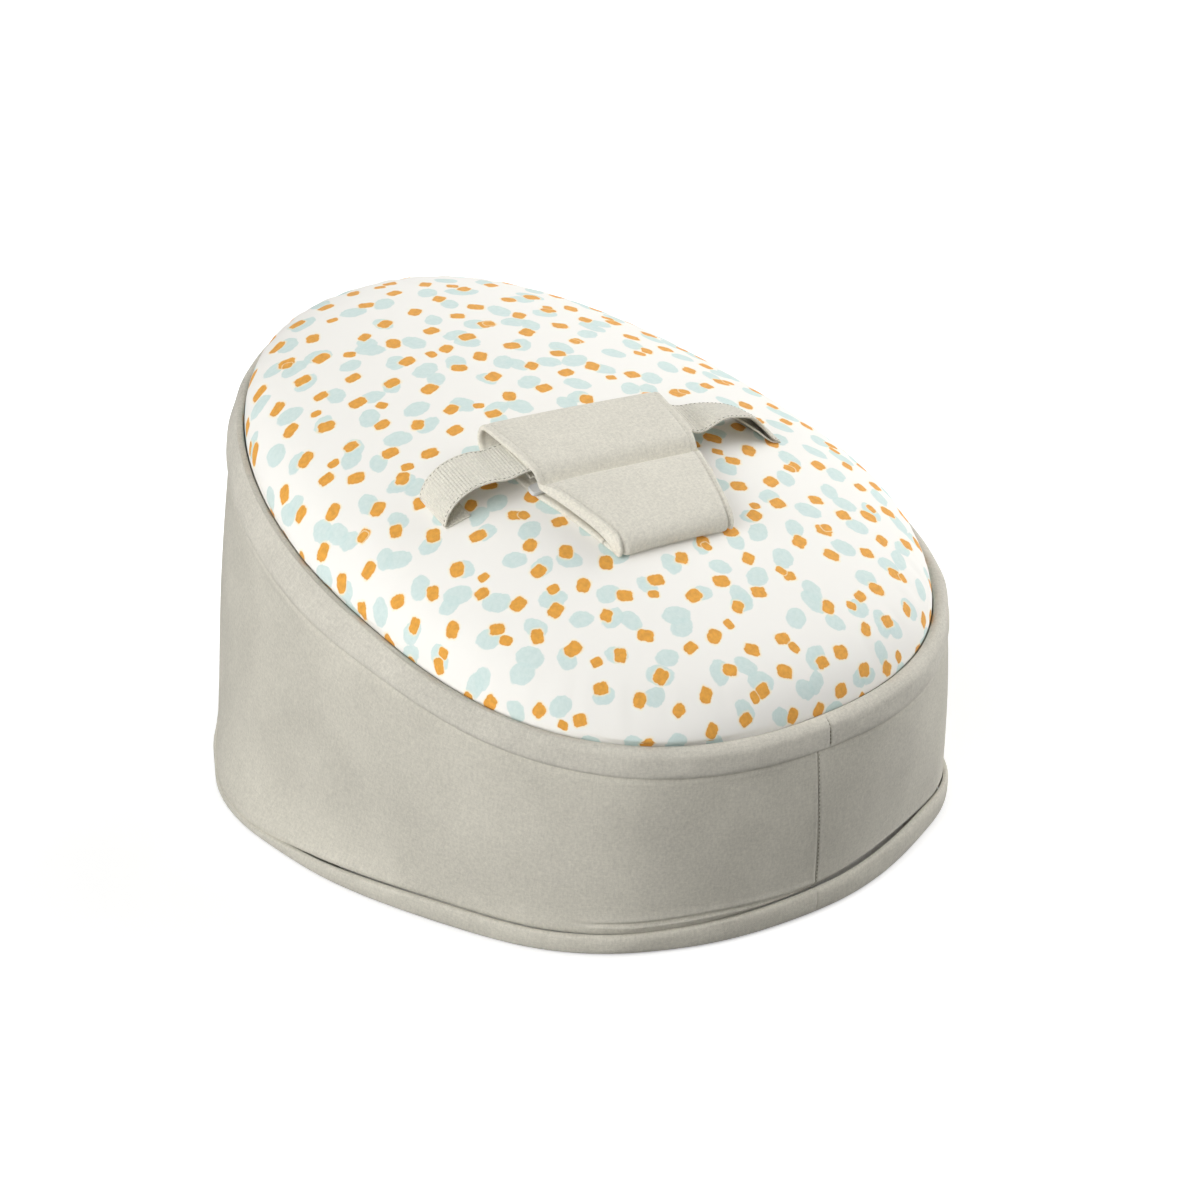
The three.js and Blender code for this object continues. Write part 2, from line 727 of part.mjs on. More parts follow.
// Waist webbing: a tail and a loop round the buckle's bar, out of the pad, over the arch and down
// to an end that is turned under and sewn to the cover. It runs from the bar towards side
function waistStrap(side, bar) {
  const loop_radius = webbing_bar / 2 + gap + webbing_thickness;
  const leave = bar + side * ply_tail;
  const reach = side * anchor_reach;
  const on = (u, w, follow) => ({ u, w, follow });
  const loop = arcPoints(0, buckle_mid, loop_radius, -half_turn / 2, half_turn / 2, 8);
  const arch_shares = [[0.25, 0.78], [0.45, 0.93], [0.64, 1], [0.8, 0.94], [0.91, 0.76], [0.97, 0.54],
    [0.995, 0.32]];
  const turn_start = side < 0 ? half_turn : 0;
  const turn_end = turn_start - (side * half_turn) / 2;
  const foot_u = reach - side * anchor_radius;
  const foot = arcPoints(foot_u, gap + anchor_radius, anchor_radius, turn_start, turn_end, 4);
  const tab = [reach - (side * (anchor_radius + anchor_tab)) / 2, reach - side * anchor_tab];
  const outer = [
    on(leave, buckle_mid - loop_radius, 0),
    ...loop.map(([u, w]) => on(bar - side * u, w, 0)),
    on(leave, buckle_mid + loop_radius, 0),
    ...arch_shares.map(([a, b]) => on(leave + (reach - leave) * a, b * arch_height, 1)),
    ...foot.map(([u, w]) => on(u, w, 1)),
    ...tab.map((u) => on(u, gap, 1)),
  ];
  const middle = outer.map((p) => [p.u, p.w - p.follow * drop(p.u, belt_offset)]);
  const outline = stripSection(middle, -side * webbing_thickness);
  const follows = [...outer, ...[...outer].reverse()].map((p) => p.follow);
  const section = (v) => outline.map(([u, w], i) => {
    const ease = follows[i] * (drop(u, v) - drop(u, belt_offset));
    return [u, v, w - ease];
  });
  const half = webbing_width / 2;
  const stations = evenStations(belt_offset - half, belt_offset + half, 4);
  return sweepRun(section, stations, stripCap(outline.length));
}

// Side-release buckle

const bar_reach = webbing_slot + webbing_bar;
const bar_left = buckle_x - prong_body_length - bar_reach + webbing_bar / 2;
const bar_right = buckle_x + socket_length + bar_reach - webbing_bar / 2;

// The frame that carries the webbing's round bar, out from x towards side
function webbingFrame(x, side) {
  const half = buckle_width / 2;
  const rail = half - webbing_width / 2 - 2 * gap;
  const low = buckle_mid - webbing_bar / 2;
  const high = buckle_mid + webbing_bar / 2;
  const bar = new THREE.CylinderGeometry(webbing_bar / 2, webbing_bar / 2, buckle_width - rail, 16);
  bar.translate(x + side * (bar_reach - webbing_bar / 2), belt_offset, buckle_mid);
  const ends = [x - side * buckle_wall, x + side * bar_reach];
  const lower = [belt_offset - half, belt_offset - half + rail];
  const upper = [belt_offset + half - rail, belt_offset + half];
  const rails = [lower, upper].map(([v0, v1]) => toManifold(spanBox(ends[0], ends[1], v0, v1, low, high)));
  return rails[0].add(rails[1]).add(toManifold(bar));
}

function buckleSocket() {
  const low = buckle_bottom;
  const high = buckle_bottom + buckle_height;
  const half = buckle_width / 2;
  const x1 = buckle_x + socket_length;
  const corner = buckle_wall * 2;
  const outline = [[buckle_x, corner - half], [buckle_x + corner, -half], [x1 - corner, -half],
    [x1, corner - half], [x1, half - corner], [x1 - corner, half], [buckle_x + corner, half],
    [buckle_x, half - corner]];
  const shell = toManifold(plate(outline.map(([u, v]) => [u, v + belt_offset]), low, high));
  const room = half - buckle_wall;
  const deep = buckle_x + prong_reach + buckle_wall;
  const [roof_low, roof_high] = [low + buckle_wall, high - buckle_wall];
  const mouth = buckle_x - cut_overrun;
  const inside = boxAt(mouth, deep, belt_offset - room, belt_offset + room, roof_low, roof_high);
  const side_low = belt_offset - half - cut_overrun;
  const side_high = belt_offset + half + cut_overrun;
  const window_start = buckle_x + prong_reach / 2;
  const window_end = deep - buckle_wall;
  const windows = boxAt(window_start, window_end, side_low, side_high, roof_low, roof_high);
  const cut = shell.subtract(toManifold(inside)).subtract(toManifold(windows));
  return fromManifold(cut.add(webbingFrame(x1, 1)));
}

// The prongs are drawn with their arms pressed in, as they pass the socket's mouth
function buckleProngs() {
  const low = buckle_bottom + buckle_wall + gap;
  const high = buckle_bottom + buckle_height - buckle_wall - gap;
  const half = buckle_width / 2;
  const x0 = buckle_x - prong_body_length;
  const x1 = buckle_x - gap;
  const corner = buckle_wall * 2;
  const outline = [[x0, -half], [x1 - corner, -half], [x1, corner - half], [x1, half - corner],
    [x1 - corner, half], [x0, half]];
  const room = half - buckle_wall - gap;
  const tip = buckle_x + prong_reach;
  const barb = tip - prong_reach / 3;
  const root = x1 - buckle_wall;
  const arm = [[root, room - prong_arm_width], [tip, room - prong_arm_width],
    [tip, room - prong_arm_width / 2], [barb, room], [barb, room - prong_arm_width / 4],
    [root, room - prong_arm_width / 4]];
  const guide = prong_arm_width / 2;
  const guide_end = buckle_x + prong_reach / 2;
  const tongue = boxAt(root, guide_end, belt_offset - guide, belt_offset + guide, low, high);
  const lift = (points, side) => points.map(([u, v]) => [u, belt_offset + side * v]);
  const pieces = [plate(lift(arm, 1), low, high), plate(lift(arm, -1), low, high), tongue];
  let all = toManifold(plate(lift(outline, 1), low, high)).add(webbingFrame(x0, -1));
  for (const piece of pieces) all = all.add(toManifold(piece));
  return fromManifold(all);
}

// Assembly

const beanbag = new THREE.Group();
const harness = new THREE.Group();
harness.applyMatrix4(harness_matrix);
beanbag.add(harness);

const canvas = { color: 0xbcb8aa, roughness: 0.92, metalness: 0 };
const canvas_light = { color: 0xcfccc0, roughness: 0.92, metalness: 0 };
const print_cloth = { color: 0xf2f0ea, roughness: 0.85, metalness: 0 };
const liner = { color: 0xf4f3ef, roughness: 0.8, metalness: 0 };
const beads = { color: 0xffffff, roughness: 0.7, metalness: 0 };
const wadding = { color: 0xf7f6f2, roughness: 0.95, metalness: 0 };
const tape = { color: 0xb4b0a2, roughness: 0.9, metalness: 0 };
const plastic = { color: 0xc9c9c6, roughness: 0.45, metalness: 0 };
const metal = { color: 0xa9a9a6, roughness: 0.35, metalness: 1 };

function addPiece(parent, name, geometry, look) {
  const mesh = new THREE.Mesh(geometry, new THREE.MeshStandardMaterial(look));
  mesh.name = name;
  parent.add(mesh);
}

addPiece(beanbag, 'base_panel_left', basePanel(-1), canvas);
addPiece(beanbag, 'base_panel_right', basePanel(1), canvas);
addPiece(beanbag, 'fill_zip_tape_left', fillTape(-1), tape);
addPiece(beanbag, 'fill_zip_tape_right', fillTape(1), tape);
addPiece(beanbag, 'fill_zip_coil_left', fillCoil(-1), plastic);
addPiece(beanbag, 'fill_zip_coil_right', fillCoil(1), plastic);
addPiece(beanbag, 'fill_zip_slider', fillSlider(), metal);
addPiece(beanbag, 'fill_zip_stop_foot', fillStop(-1), metal);
addPiece(beanbag, 'fill_zip_stop_head', fillStop(1), metal);
addPiece(beanbag, 'bottom_band_left', bottomBand(-1), canvas);
addPiece(beanbag, 'bottom_band_right', bottomBand(1), canvas);
addPiece(beanbag, 'side_wall_left', sideWall(-1), canvas);
addPiece(beanbag, 'side_wall_right', sideWall(1), canvas);
addPiece(beanbag, 'rim_band', rimBand(), canvas_light);
addPiece(beanbag, 'rim_wadding', rimWadding(), wadding);
addPiece(beanbag, 'rim_zip_tape_outer', rimTapeOuter(), tape);
addPiece(beanbag, 'rim_zip_coil_outer', rimCoil(-1), plastic);
addPiece(beanbag, 'rim_zip_slider', rimSlider(), metal);
addPiece(beanbag, 'rim_zip_coil_inner', rimCoil(1), plastic);
addPiece(beanbag, 'rim_zip_tape_inner', rimTapeInner(), tape);
addPiece(beanbag, 'inner_bag', innerBag(), liner);
addPiece(beanbag, 'bead_filling', beadFilling(), beads);
addPiece(beanbag, 'seat_cover', seatCover(), print_cloth);
addPiece(harness, 'waist_strap_left', waistStrap(-1, bar_left), canvas_light);
addPiece(harness, 'waist_strap_right', waistStrap(1, bar_right), canvas_light);
addPiece(harness, 'buckle_socket', buckleSocket(), plastic);
addPiece(harness, 'buckle_prongs', buckleProngs(), plastic);
addPiece(harness, 'crotch_strap', crotchStrap(), canvas_light);
addPiece(harness, 'crotch_flap', crotchFlap(), canvas_light);
addPiece(harness, 'loop_strip', closureStrip(2 * gap + flap_thickness), canvas);
addPiece(harness, 'hook_strip', closureStrip(3 * gap + flap_thickness + strip_thickness), canvas);

export default beanbag;
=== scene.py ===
"""Baby beanbag: cloth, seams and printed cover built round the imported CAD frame. Shapes are worked
out in millimetres and written in metres."""

import math
from functools import partialmethod

import bpy
import numpy as np
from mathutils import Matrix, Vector


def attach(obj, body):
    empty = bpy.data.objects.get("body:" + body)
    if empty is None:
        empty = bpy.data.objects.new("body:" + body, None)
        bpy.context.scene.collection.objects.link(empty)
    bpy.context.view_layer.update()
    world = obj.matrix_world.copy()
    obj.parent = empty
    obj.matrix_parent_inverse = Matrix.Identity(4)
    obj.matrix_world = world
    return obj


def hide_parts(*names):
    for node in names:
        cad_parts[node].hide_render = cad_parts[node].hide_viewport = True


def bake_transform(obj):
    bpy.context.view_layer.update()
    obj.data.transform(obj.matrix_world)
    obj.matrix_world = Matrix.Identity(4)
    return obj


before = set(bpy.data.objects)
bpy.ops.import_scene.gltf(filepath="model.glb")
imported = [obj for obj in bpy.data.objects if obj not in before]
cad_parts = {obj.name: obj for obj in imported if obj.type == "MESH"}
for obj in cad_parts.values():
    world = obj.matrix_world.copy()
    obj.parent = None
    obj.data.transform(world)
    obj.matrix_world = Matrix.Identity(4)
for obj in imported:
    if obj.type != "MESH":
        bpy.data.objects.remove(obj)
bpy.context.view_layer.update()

MM = 0.001
PI = math.pi
HALVES = ((-1, "left"), (1, "right"))

# The object's driving sizes, the same as in the CAD source
LENGTH = 600
BASE_HALF, BASE_WIDEST_Y, BASE_ROUND = 246, 8, 2.3
RIM_HALF, RIM_WIDEST_Y, RIM_ROUND = 237, -65, 2.24
FOOT_HEIGHT, HEAD_HEIGHT, SIDE_DIP = 166, 297, 19.4
WALL_BELLY, DOME, PUFF = 4, 47, 30
DOME_ROUND, PUFF_ROUND = 2.5, 16
MID = (FOOT_HEIGHT + HEAD_HEIGHT) / 2
RISE = (HEAD_HEIGHT - FOOT_HEIGHT) / 2
COVER_INSET = 10
RIM_WIDE, RIM_BULGE = 9.4, 3
SEAM_X, RIM_SEAM_X = -14, -3
FOOT_REACH = LENGTH / 2 + RIM_WIDEST_Y
HEAD_REACH = LENGTH / 2 - RIM_WIDEST_Y
BRIDGE = 90

# Small sums

join = np.concatenate


def smooth(x):
    x = np.clip(x, 0, 1)
    return x * x * (3 - 2 * x)


def power(x, n):
    return np.sign(x) * np.abs(x) ** n


def bell(x, width, sharp=2):
    """1 where x is zero, falling off on both sides."""
    return np.exp(-(np.abs(x / width) ** sharp))


def alike(*values):
    """Values as arrays of one shape."""
    return np.broadcast_arrays(*[np.asarray(x, float) for x in values])


def pairs(a, b):
    return np.stack(np.meshgrid(a, b, indexing="ij"), -1)


def norm(p):
    return np.linalg.norm(p, axis=-1)


def unit(p):
    return p / norm(p)[..., None]


def run_along(line):
    """Running length along a line of points."""
    return join([[0], np.cumsum(norm(np.diff(line, axis=0)))])


def turns(count):
    return np.linspace(0, 2 * PI, count, endpoint=False)


def turned(t, degrees):
    """Angles counted from one direction, between half a turn back and half a turn on."""
    return np.angle(np.exp(1j * (np.asarray(t, float) - math.radians(degrees))))


def bump_at(t, degrees, width):
    """A soft bump round one direction, 1 at its top."""
    return bell(turned(t, degrees), math.radians(width))


# Places on the wall and the seat


def outline(half, widest, roundness, t):
    c, s = np.cos(t), np.sin(t)
    reach = np.where(s > 0, LENGTH / 2 - widest, LENGTH / 2 + widest)
    cx, sy = power(c, 2 / roundness), power(s, 2 / roundness)
    nx, ny = power(cx, roundness - 1) / half, power(sy, roundness - 1) / reach
    size = np.hypot(nx, ny)
    return half * cx, widest + reach * sy, nx / size, ny / size


def bridged(rule, y):
    """rule(y), with the stretch round zero drawn as one smooth curve."""
    step = 0.5
    low, high = rule(np.array(-BRIDGE)), rule(np.array(BRIDGE))
    low_slope = (low - rule(np.array(-BRIDGE - step))) / step
    high_slope = (rule(np.array(BRIDGE + step)) - high) / step
    h = 2 * BRIDGE
    s = np.clip((y + BRIDGE) / h, 0, 1)
    curve = (
        low * (1 + 2 * s) * (1 - s) ** 2
        + low_slope * h * s * (1 - s) ** 2
        + high * s * s * (3 - 2 * s)
        + high_slope * h * s * s * (s - 1)
    )
    return np.where(np.abs(y) < BRIDGE, curve, rule(y))


def tilt_rule(y):
    """The rim's lean: its height over the middle at a distance y from the widest place."""
    reach = np.where(y > 0, HEAD_REACH, FOOT_REACH)
    return RISE * power(y / reach, RIM_ROUND / 2)


def rim_tilt(t):
    y = outline(RIM_HALF, RIM_WIDEST_Y, RIM_ROUND, t)[1] - RIM_WIDEST_Y
    return bridged(tilt_rule, y)


def rim_height(t):
    return MID + rim_tilt(t) - SIDE_DIP * (1 + np.cos(2 * t)) / 2


def wall_point(t, z, out):
    t, z, out = alike(t, z, out)
    lx, ly, lnx, lny = outline(BASE_HALF, BASE_WIDEST_Y, BASE_ROUND, t)
    hx, hy, hnx, hny = outline(RIM_HALF, RIM_WIDEST_Y, RIM_ROUND, t)
    s = z / rim_height(t)
    nx, ny = lnx + (hnx - lnx) * s, lny + (hny - lny) * s
    reach = (out + 4 * WALL_BELLY * s * (1 - s)) / np.hypot(nx, ny)
    return np.stack([lx + (hx - lx) * s + reach * nx, ly + (hy - ly) * s + reach * ny, z], -1)


def rim_point(t, out, up):
    return wall_point(t, rim_height(np.asarray(t, float)) + up, out)


def by_angle(knots, blur):
    """A rule that runs smoothly through values given at angles, in degrees, round the object."""
    at, values = np.array(knots, float).T
    fine = np.arange(-360.0, 720.0)
    line = np.interp(fine, join([at - 360, at, at + 360, at + 720]), np.tile(values, 4))
    weight = bell(np.arange(-20, 21), blur)
    line = np.convolve(line, weight / weight.sum(), "same")
    return lambda t: np.interp(np.degrees(np.asarray(t, float)) % 360, fine, line)


# How far the foot of the wall stands out, or in, from the even outline: it sags over its left
# corner, is pushed out at the right and drawn in at the right of the foot
spread = by_angle(
    (
        (-330, 0), (-235, 0), (-224, -3), (-214, 4), (-206, 13), (-198, 17), (-190, 17.5),
        (-183, 15), (-173, 9.5), (-165, 4.5), (-157, 2), (-149, 3), (-141, 5), (-134, 4),
        (-127, 1.5), (-120, -2.5), (-109, -5.5), (-99, -7.5), (-90, -7.5), (-82, -9), (-73, -10),
        (-65, -9), (-58, -5), (-54, 0), (-49, 5.5), (-45, 8.5), (-40, 9.5), (-33, 8), (-20, 4),
        (-5, 0),
    ),
    4,
)
# Height of the bottom band's seam, uneven as it is sewn, and low where the wall sags over it
band_top = by_angle(
    (
        (-330, 19.5), (-238, 19.5), (-222, 13), (-205, 6), (-190, 6), (-182, 10), (-174, 15),
        (-160, 18.5), (-140, 16.5), (-127, 16), (-112, 18.5), (-90, 21), (-75, 24), (-58, 24),
        (-40, 22), (-20, 20), (0, 19.5),
    ),
    5,
)
# The corner where the push outwards reaches up the wall, and its width, in degrees
RIGHT_CORNER = (math.degrees(-0.6), math.degrees(0.5))


def foot_out(t, z):
    """How far the spread of the foot moves the wall's face at a height."""
    far = spread(t)
    right = bump_at(t, *RIGHT_CORNER)
    high = np.clip(1 - z / 200, 0, 1) ** 1.3 * right + bell(z, 28) * (1 - right)
    over = np.maximum(z - band_top(t), 0)
    return np.maximum(far, 0) * high + np.minimum(far, 0) * bell(over, 60, 1.5)


def tucked(t):
    """How far the band draws in under the wall where the wall sags over it."""
    return 3 * smooth((13 - band_top(t)) / 6)


def rim_deep(t):
    """Depth of the rim band's lower seam: the band is narrower round the foot end."""
    y = outline(RIM_HALF, RIM_WIDEST_Y, RIM_ROUND, t)[1]
    return 22.8 + 7 * smooth((y + 110) / 150) + 2 * bump_at(t, -75, 18)


def seat_point(t, share, depth):
    """The crowned seat: share runs from 0 at the middle to 1 at the rim, depth goes down."""
    t, share, depth = alike(t, share, depth)
    edge = rim_point(t, -COVER_INSET, 0)
    reach = share * (1 - depth / RIM_HALF)
    y = (edge[..., 1] - RIM_WIDEST_Y) * reach
    by_ray = share * rim_tilt(t)
    slope_foot, slope_head = RISE / FOOT_REACH, RISE / HEAD_REACH
    by_place = bridged(lambda v: np.where(v > 0, slope_head, slope_foot) * v, y)
    tilt = by_place + (by_ray - by_place) * smooth(share / 0.5)
    tilt = tilt - SIDE_DIP / 2 * share**2 * np.cos(2 * t)
    dome = DOME * (1 - share**DOME_ROUND)
    puff = PUFF * np.sqrt(np.maximum(0, 1 - share**PUFF_ROUND))
    z = MID - SIDE_DIP / 2 + tilt + dome + puff - depth
    return np.stack([edge[..., 0] * reach, RIM_WIDEST_Y + y, z], -1)


def cover_height(x, y):
    """Height of the cover's top over places in plan, found by halving the angle."""
    y = y - RIM_WIDEST_Y
    aim = np.arctan2(y, x)
    low, high = np.full(x.shape, -PI), np.full(x.shape, PI)
    for _ in range(34):
        t = (low + high) / 2
        p = rim_point(t, -COVER_INSET, 0)
        less = np.arctan2(p[..., 1] - RIM_WIDEST_Y, p[..., 0]) < aim
        low, high = np.where(less, t, low), np.where(less, high, t)
    p = rim_point(low, -COVER_INSET, 0)
    share = np.hypot(x, y) / np.hypot(p[..., 0], p[..., 1] - RIM_WIDEST_Y)
    return seat_point(low, np.minimum(share, 1), 0)[..., 2]


# Meshes

SHARP_OVER = 50
CAP_UV = (0, 2.0)


def put(name, data):
    obj = bpy.data.objects.new(name, data)
    bpy.context.scene.collection.objects.link(obj)
    return obj


def make(name, parts, material, body, node=None):
    """parts is a list of (points, quads, corner uvs) in millimetres, joined where they meet."""
    points, faces, corners = [], [], []
    start = 0
    for p, f, uv in parts:
        points.append(p)
        faces.append(f + start)
        corners.append(uv.reshape(-1, 2))
        start += len(p)
    points, corners = join(points), join(corners)
    _, first, back = np.unique(np.round(points, 4), axis=0, return_index=True, return_inverse=True)
    back = back.ravel()
    mesh = bpy.data.meshes.new(name)
    rows = [r.tolist() for f in faces for r in back[f]]
    mesh.from_pydata((points[first] * MM).tolist(), [], rows)
    layer = mesh.uv_layers.new(name="UVMap")
    layer.data.foreach_set("uv", (corners * MM).ravel())
    mesh.validate()
    mesh.shade_smooth()
    mesh.set_sharp_from_angle(angle=math.radians(SHARP_OVER))
    obj = put(name, mesh)
    mesh.materials.append(material)
    if body:
        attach(obj, body)
    if node:
        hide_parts(node)
    return obj


def grid(p, uv, closed_u=False, closed_v=False, flip=False):
    """Quads over a grid of points. uv has one more row or column where the grid closes."""
    nu, nv = p.shape[:2]
    i = np.arange(nu if closed_u else nu - 1)
    j = np.arange(nv if closed_v else nv - 1)
    i, j = pairs(i, j).reshape(-1, 2).T
    i2, j2 = (i + 1) % nu, (j + 1) % nv
    f = np.stack([i * nv + j, i2 * nv + j, i2 * nv + j2, i * nv + j2], 1)
    c = np.stack([uv[i, j], uv[i + 1, j], uv[i + 1, j + 1], uv[i, j + 1]], 1)
    if flip:
        f, c = f[:, ::-1], c[:, ::-1]
    return p.reshape(-1, 3), f, c


def lengths(p, axis, closed):
    """Running length along an axis of a grid, averaged over the other one."""
    q = join([p, np.take(p, [0], axis)], axis) if closed else p
    return join([[0], np.cumsum(norm(np.diff(q, axis=axis)).mean(1 - axis))])


def loft(p, closed_u=False, flip=False):
    """A strip's body: each row of p is a closed section whose point j faces point n - 1 - j."""
    u, v = lengths(p, 0, closed_u), lengths(p, 1, True)
    parts = [grid(p, pairs(u, v), closed_u, True, flip)]
    if not closed_u:
        half = p.shape[1] // 2
        for end in (0, -1):
            row = np.stack([p[end, :half], p[end, ::-1][:half]], 1)
            parts.append(grid(row, pairs(v[:half], CAP_UV), flip=flip != (end == 0)))
    return parts


def plate(flat, low, high):
    """Rows of closed sections over a flat grid of places, between two heights."""
    faces = [join([flat, np.full(flat.shape[:2] + (1,), z)], -1) for z in (low, high)]
    return join([faces[0], faces[1][:, ::-1]], 1)


def resample(path, count):
    """A smooth curve of evenly spaced points through a few points."""
    path = np.asarray(path, float)
    q = join([[2 * path[0] - path[1]], path, [2 * path[-1] - path[-2]]])
    s = np.linspace(0, 1, 24, endpoint=False)[:, None]
    fine = []
    for a, b, c, d in zip(q, q[1:], q[2:], q[3:]):
        bend = (2 * a - 5 * b + 4 * c - d) * s**2 + (3 * b - a - 3 * c + d) * s**3
        fine.append(0.5 * (2 * b + (c - a) * s + bend))
    fine = join(fine + [path[-1:]])
    run = run_along(fine)
    at = np.linspace(0, run[-1], count)
    return np.stack([np.interp(at, run, column) for column in fine.T], 1)


def offset(path, distance):
    """The path moved sideways, to its left; the distance is one number or a column of them."""
    d = unit(np.gradient(path, axis=0))
    return path + distance * np.stack([-d[:, 1], d[:, 0]], 1)


def strip(path, thickness):
    return join([path, offset(path, thickness)[::-1]])


# Materials


class Nodes:
    """A node tree made step by step. Each value is a constant or the output that feeds it."""

    def __init__(self, tree):
        self.tree = tree

    def fill(self, node, values):
        for key, value in values.items():
            if isinstance(value, bpy.types.NodeSocket):
                self.tree.links.new(value, node.inputs[key])
            else:
                node.inputs[key].default_value = value
        return node

    def node(self, kind, **values):
        return self.fill(self.tree.nodes.new(kind), values)

    def op(self, kind, *values):
        made = self.node("ShaderNodeMath")
        made.operation = kind
        return self.fill(made, dict(enumerate(values))).outputs[0]

    add = partialmethod(op, "ADD")
    less = partialmethod(op, "SUBTRACT")
    times = partialmethod(op, "MULTIPLY")

    def remap(self, value, a, b, c, d, kind="LINEAR"):
        made = self.node("ShaderNodeMapRange", Value=value)
        made.interpolation_type = kind
        ends = {"From Min": a, "From Max": b, "To Min": c, "To Max": d}
        return self.fill(made, ends).outputs[0]

    def mix(self, share, a, b):
        made = self.node("ShaderNodeMix")
        made.data_type = "RGBA"
        return self.fill(made, {0: share, 6: a, 7: b}).outputs[2]


class Look(Nodes):
    """A cloth, plastic or metal material."""

    def __init__(self, name, roughness, specular, sheen=0.0, metallic=0.0):
        self.mat = bpy.data.materials.new(name)
        self.mat.use_nodes = True
        super().__init__(self.mat.node_tree)
        self.bsdf = self.tree.nodes["Principled BSDF"]
        shine = {"Roughness": roughness, "Metallic": metallic, "Specular IOR Level": specular}
        self.fill(self.bsdf, {**shine, "Sheen Weight": sheen, "Sheen Roughness": 0.5})
        uv = self.node("ShaderNodeUVMap")
        uv.uv_map = "UVMap"
        self.uv = uv.outputs[0]
        self.u, self.v, _ = self.node("ShaderNodeSeparateXYZ", Vector=self.uv).outputs
        self.place = self.node("ShaderNodeTexCoord").outputs["Object"]

    def noise(self, scale, detail, rough, where=None):
        return self.node(
            "ShaderNodeTexNoise", Vector=where or self.place, Scale=scale, Detail=detail,
            Roughness=rough,
        ).outputs[0]

    def on_cloth(self, along, across, detail=2.0, rough=0.6):
        """Noise in the cloth's own coordinates, with a scale each way."""
        scaled = self.node("ShaderNodeMapping", Vector=self.uv, Scale=(along, across, 1.0))
        return self.noise(1.0, detail, rough, scaled.outputs[0])

    def finish(self, colour, height, depth, strength):
        """Sets the colour and a fine relief, and gives the material."""
        bump = self.node("ShaderNodeBump", Height=height, Distance=depth, Strength=strength)
        self.fill(self.bsdf, {"Base Color": colour, "Normal": bump.outputs[0]})
        return self.mat


def rgb(r, g, b):
    """An sRGB colour, 0 to 255, as the linear numbers that a shader takes."""
    c = [x / 255 for x in (r, g, b)]
    return (*[x / 12.92 if x <= 0.04045 else ((x + 0.055) / 1.055) ** 2.4 for x in c], 1.0)


def shade(colour, k):
    return (*[x * k for x in colour[:3]], 1.0)


def weave(look, pitch, rib=False):
    """Height of a plain weave, or of cross ribs, from the cloth's own coordinates."""
    k = 2 * PI / pitch
    across = look.op("SINE", look.times(look.u, k))
    if rib:
        along = look.op("SINE", look.times(look.v, k / 1.6))
        return look.add(look.times(across, 0.7), look.times(along, 0.3))
    return look.times(across, look.op("SINE", look.times(look.v, k)))


def cloth(name, colour, pitch=0.0012, depth=0.00012, mottle=0.09, slub=0.07, rib=False):
    look = Look(name, 0.92, 0.2, sheen=0.15)
    wide = look.noise(14.0, 3.0, 0.55)
    streak = look.on_cloth(900.0, 90.0)
    cross = look.on_cloth(110.0, 1000.0)
    grain = look.on_cloth(1500.0, 1500.0, 1.0, 0.5)
    fleck = look.noise(450.0, 2.0, 0.6)
    tone = look.remap(wide, 0.3, 0.7, 1 - mottle, 1 + mottle * 0.6)
    for source, size in ((streak, 0.6 * slub), (cross, 0.6 * slub), (grain, 0.06), (fleck, 0.085)):
        tone = look.add(tone, look.remap(source, 0.3, 0.7, -size, size))
    paint = look.mix(look.remap(tone, 0.7, 1.18, 0.0, 1.0), shade(colour, 0.7), shade(colour, 1.18))
    height = look.add(weave(look, pitch, rib), look.times(grain, 1.6))
    return look.finish(paint, height, depth, 0.7)


def plain(name, colour, roughness, metallic=0.0):
    """A hard finish with a little unevenness."""
    look = Look(name, roughness, 0.5, metallic=metallic)
    fine = look.noise(400.0, 3.0, 0.6)
    wide = look.noise(30.0, 2.0, 0.5)
    share = look.add(look.times(fine, 0.5), look.times(wide, 0.5))
    paint = look.mix(share, shade(colour, 0.94), shade(colour, 1.06))
    return look.finish(paint, fine, 0.00005, 0.5)


def lattice(look, pitch, turn, seed):
    """A staggered grid of cells laid over the cloth: place in the cell and random numbers."""
    c, s = math.cos(turn) / pitch, math.sin(turn) / pitch
    x = look.add(look.add(look.times(look.u, c), look.times(look.v, s)), seed * 0.37)
    y = look.add(look.less(look.times(look.v, c), look.times(look.u, s)), seed * 0.61)
    row = look.op("FLOOR", y)
    x = look.add(x, look.times(look.op("FLOORED_MODULO", row, 2.0), 0.5))
    col = look.op("FLOOR", x)
    fx, fy = look.less(look.less(x, col), 0.5), look.less(look.less(y, row), 0.5)
    cell = look.node("ShaderNodeCombineXYZ", X=col, Y=row, Z=float(seed))
    noise = look.node("ShaderNodeTexWhiteNoise", Vector=cell.outputs[0])
    noise.noise_dimensions = "3D"
    parts = look.node("ShaderNodeSeparateColor", Color=noise.outputs["Color"])
    return fx, fy, noise.outputs["Value"], parts.outputs


CELLS_FILLED = 0.88


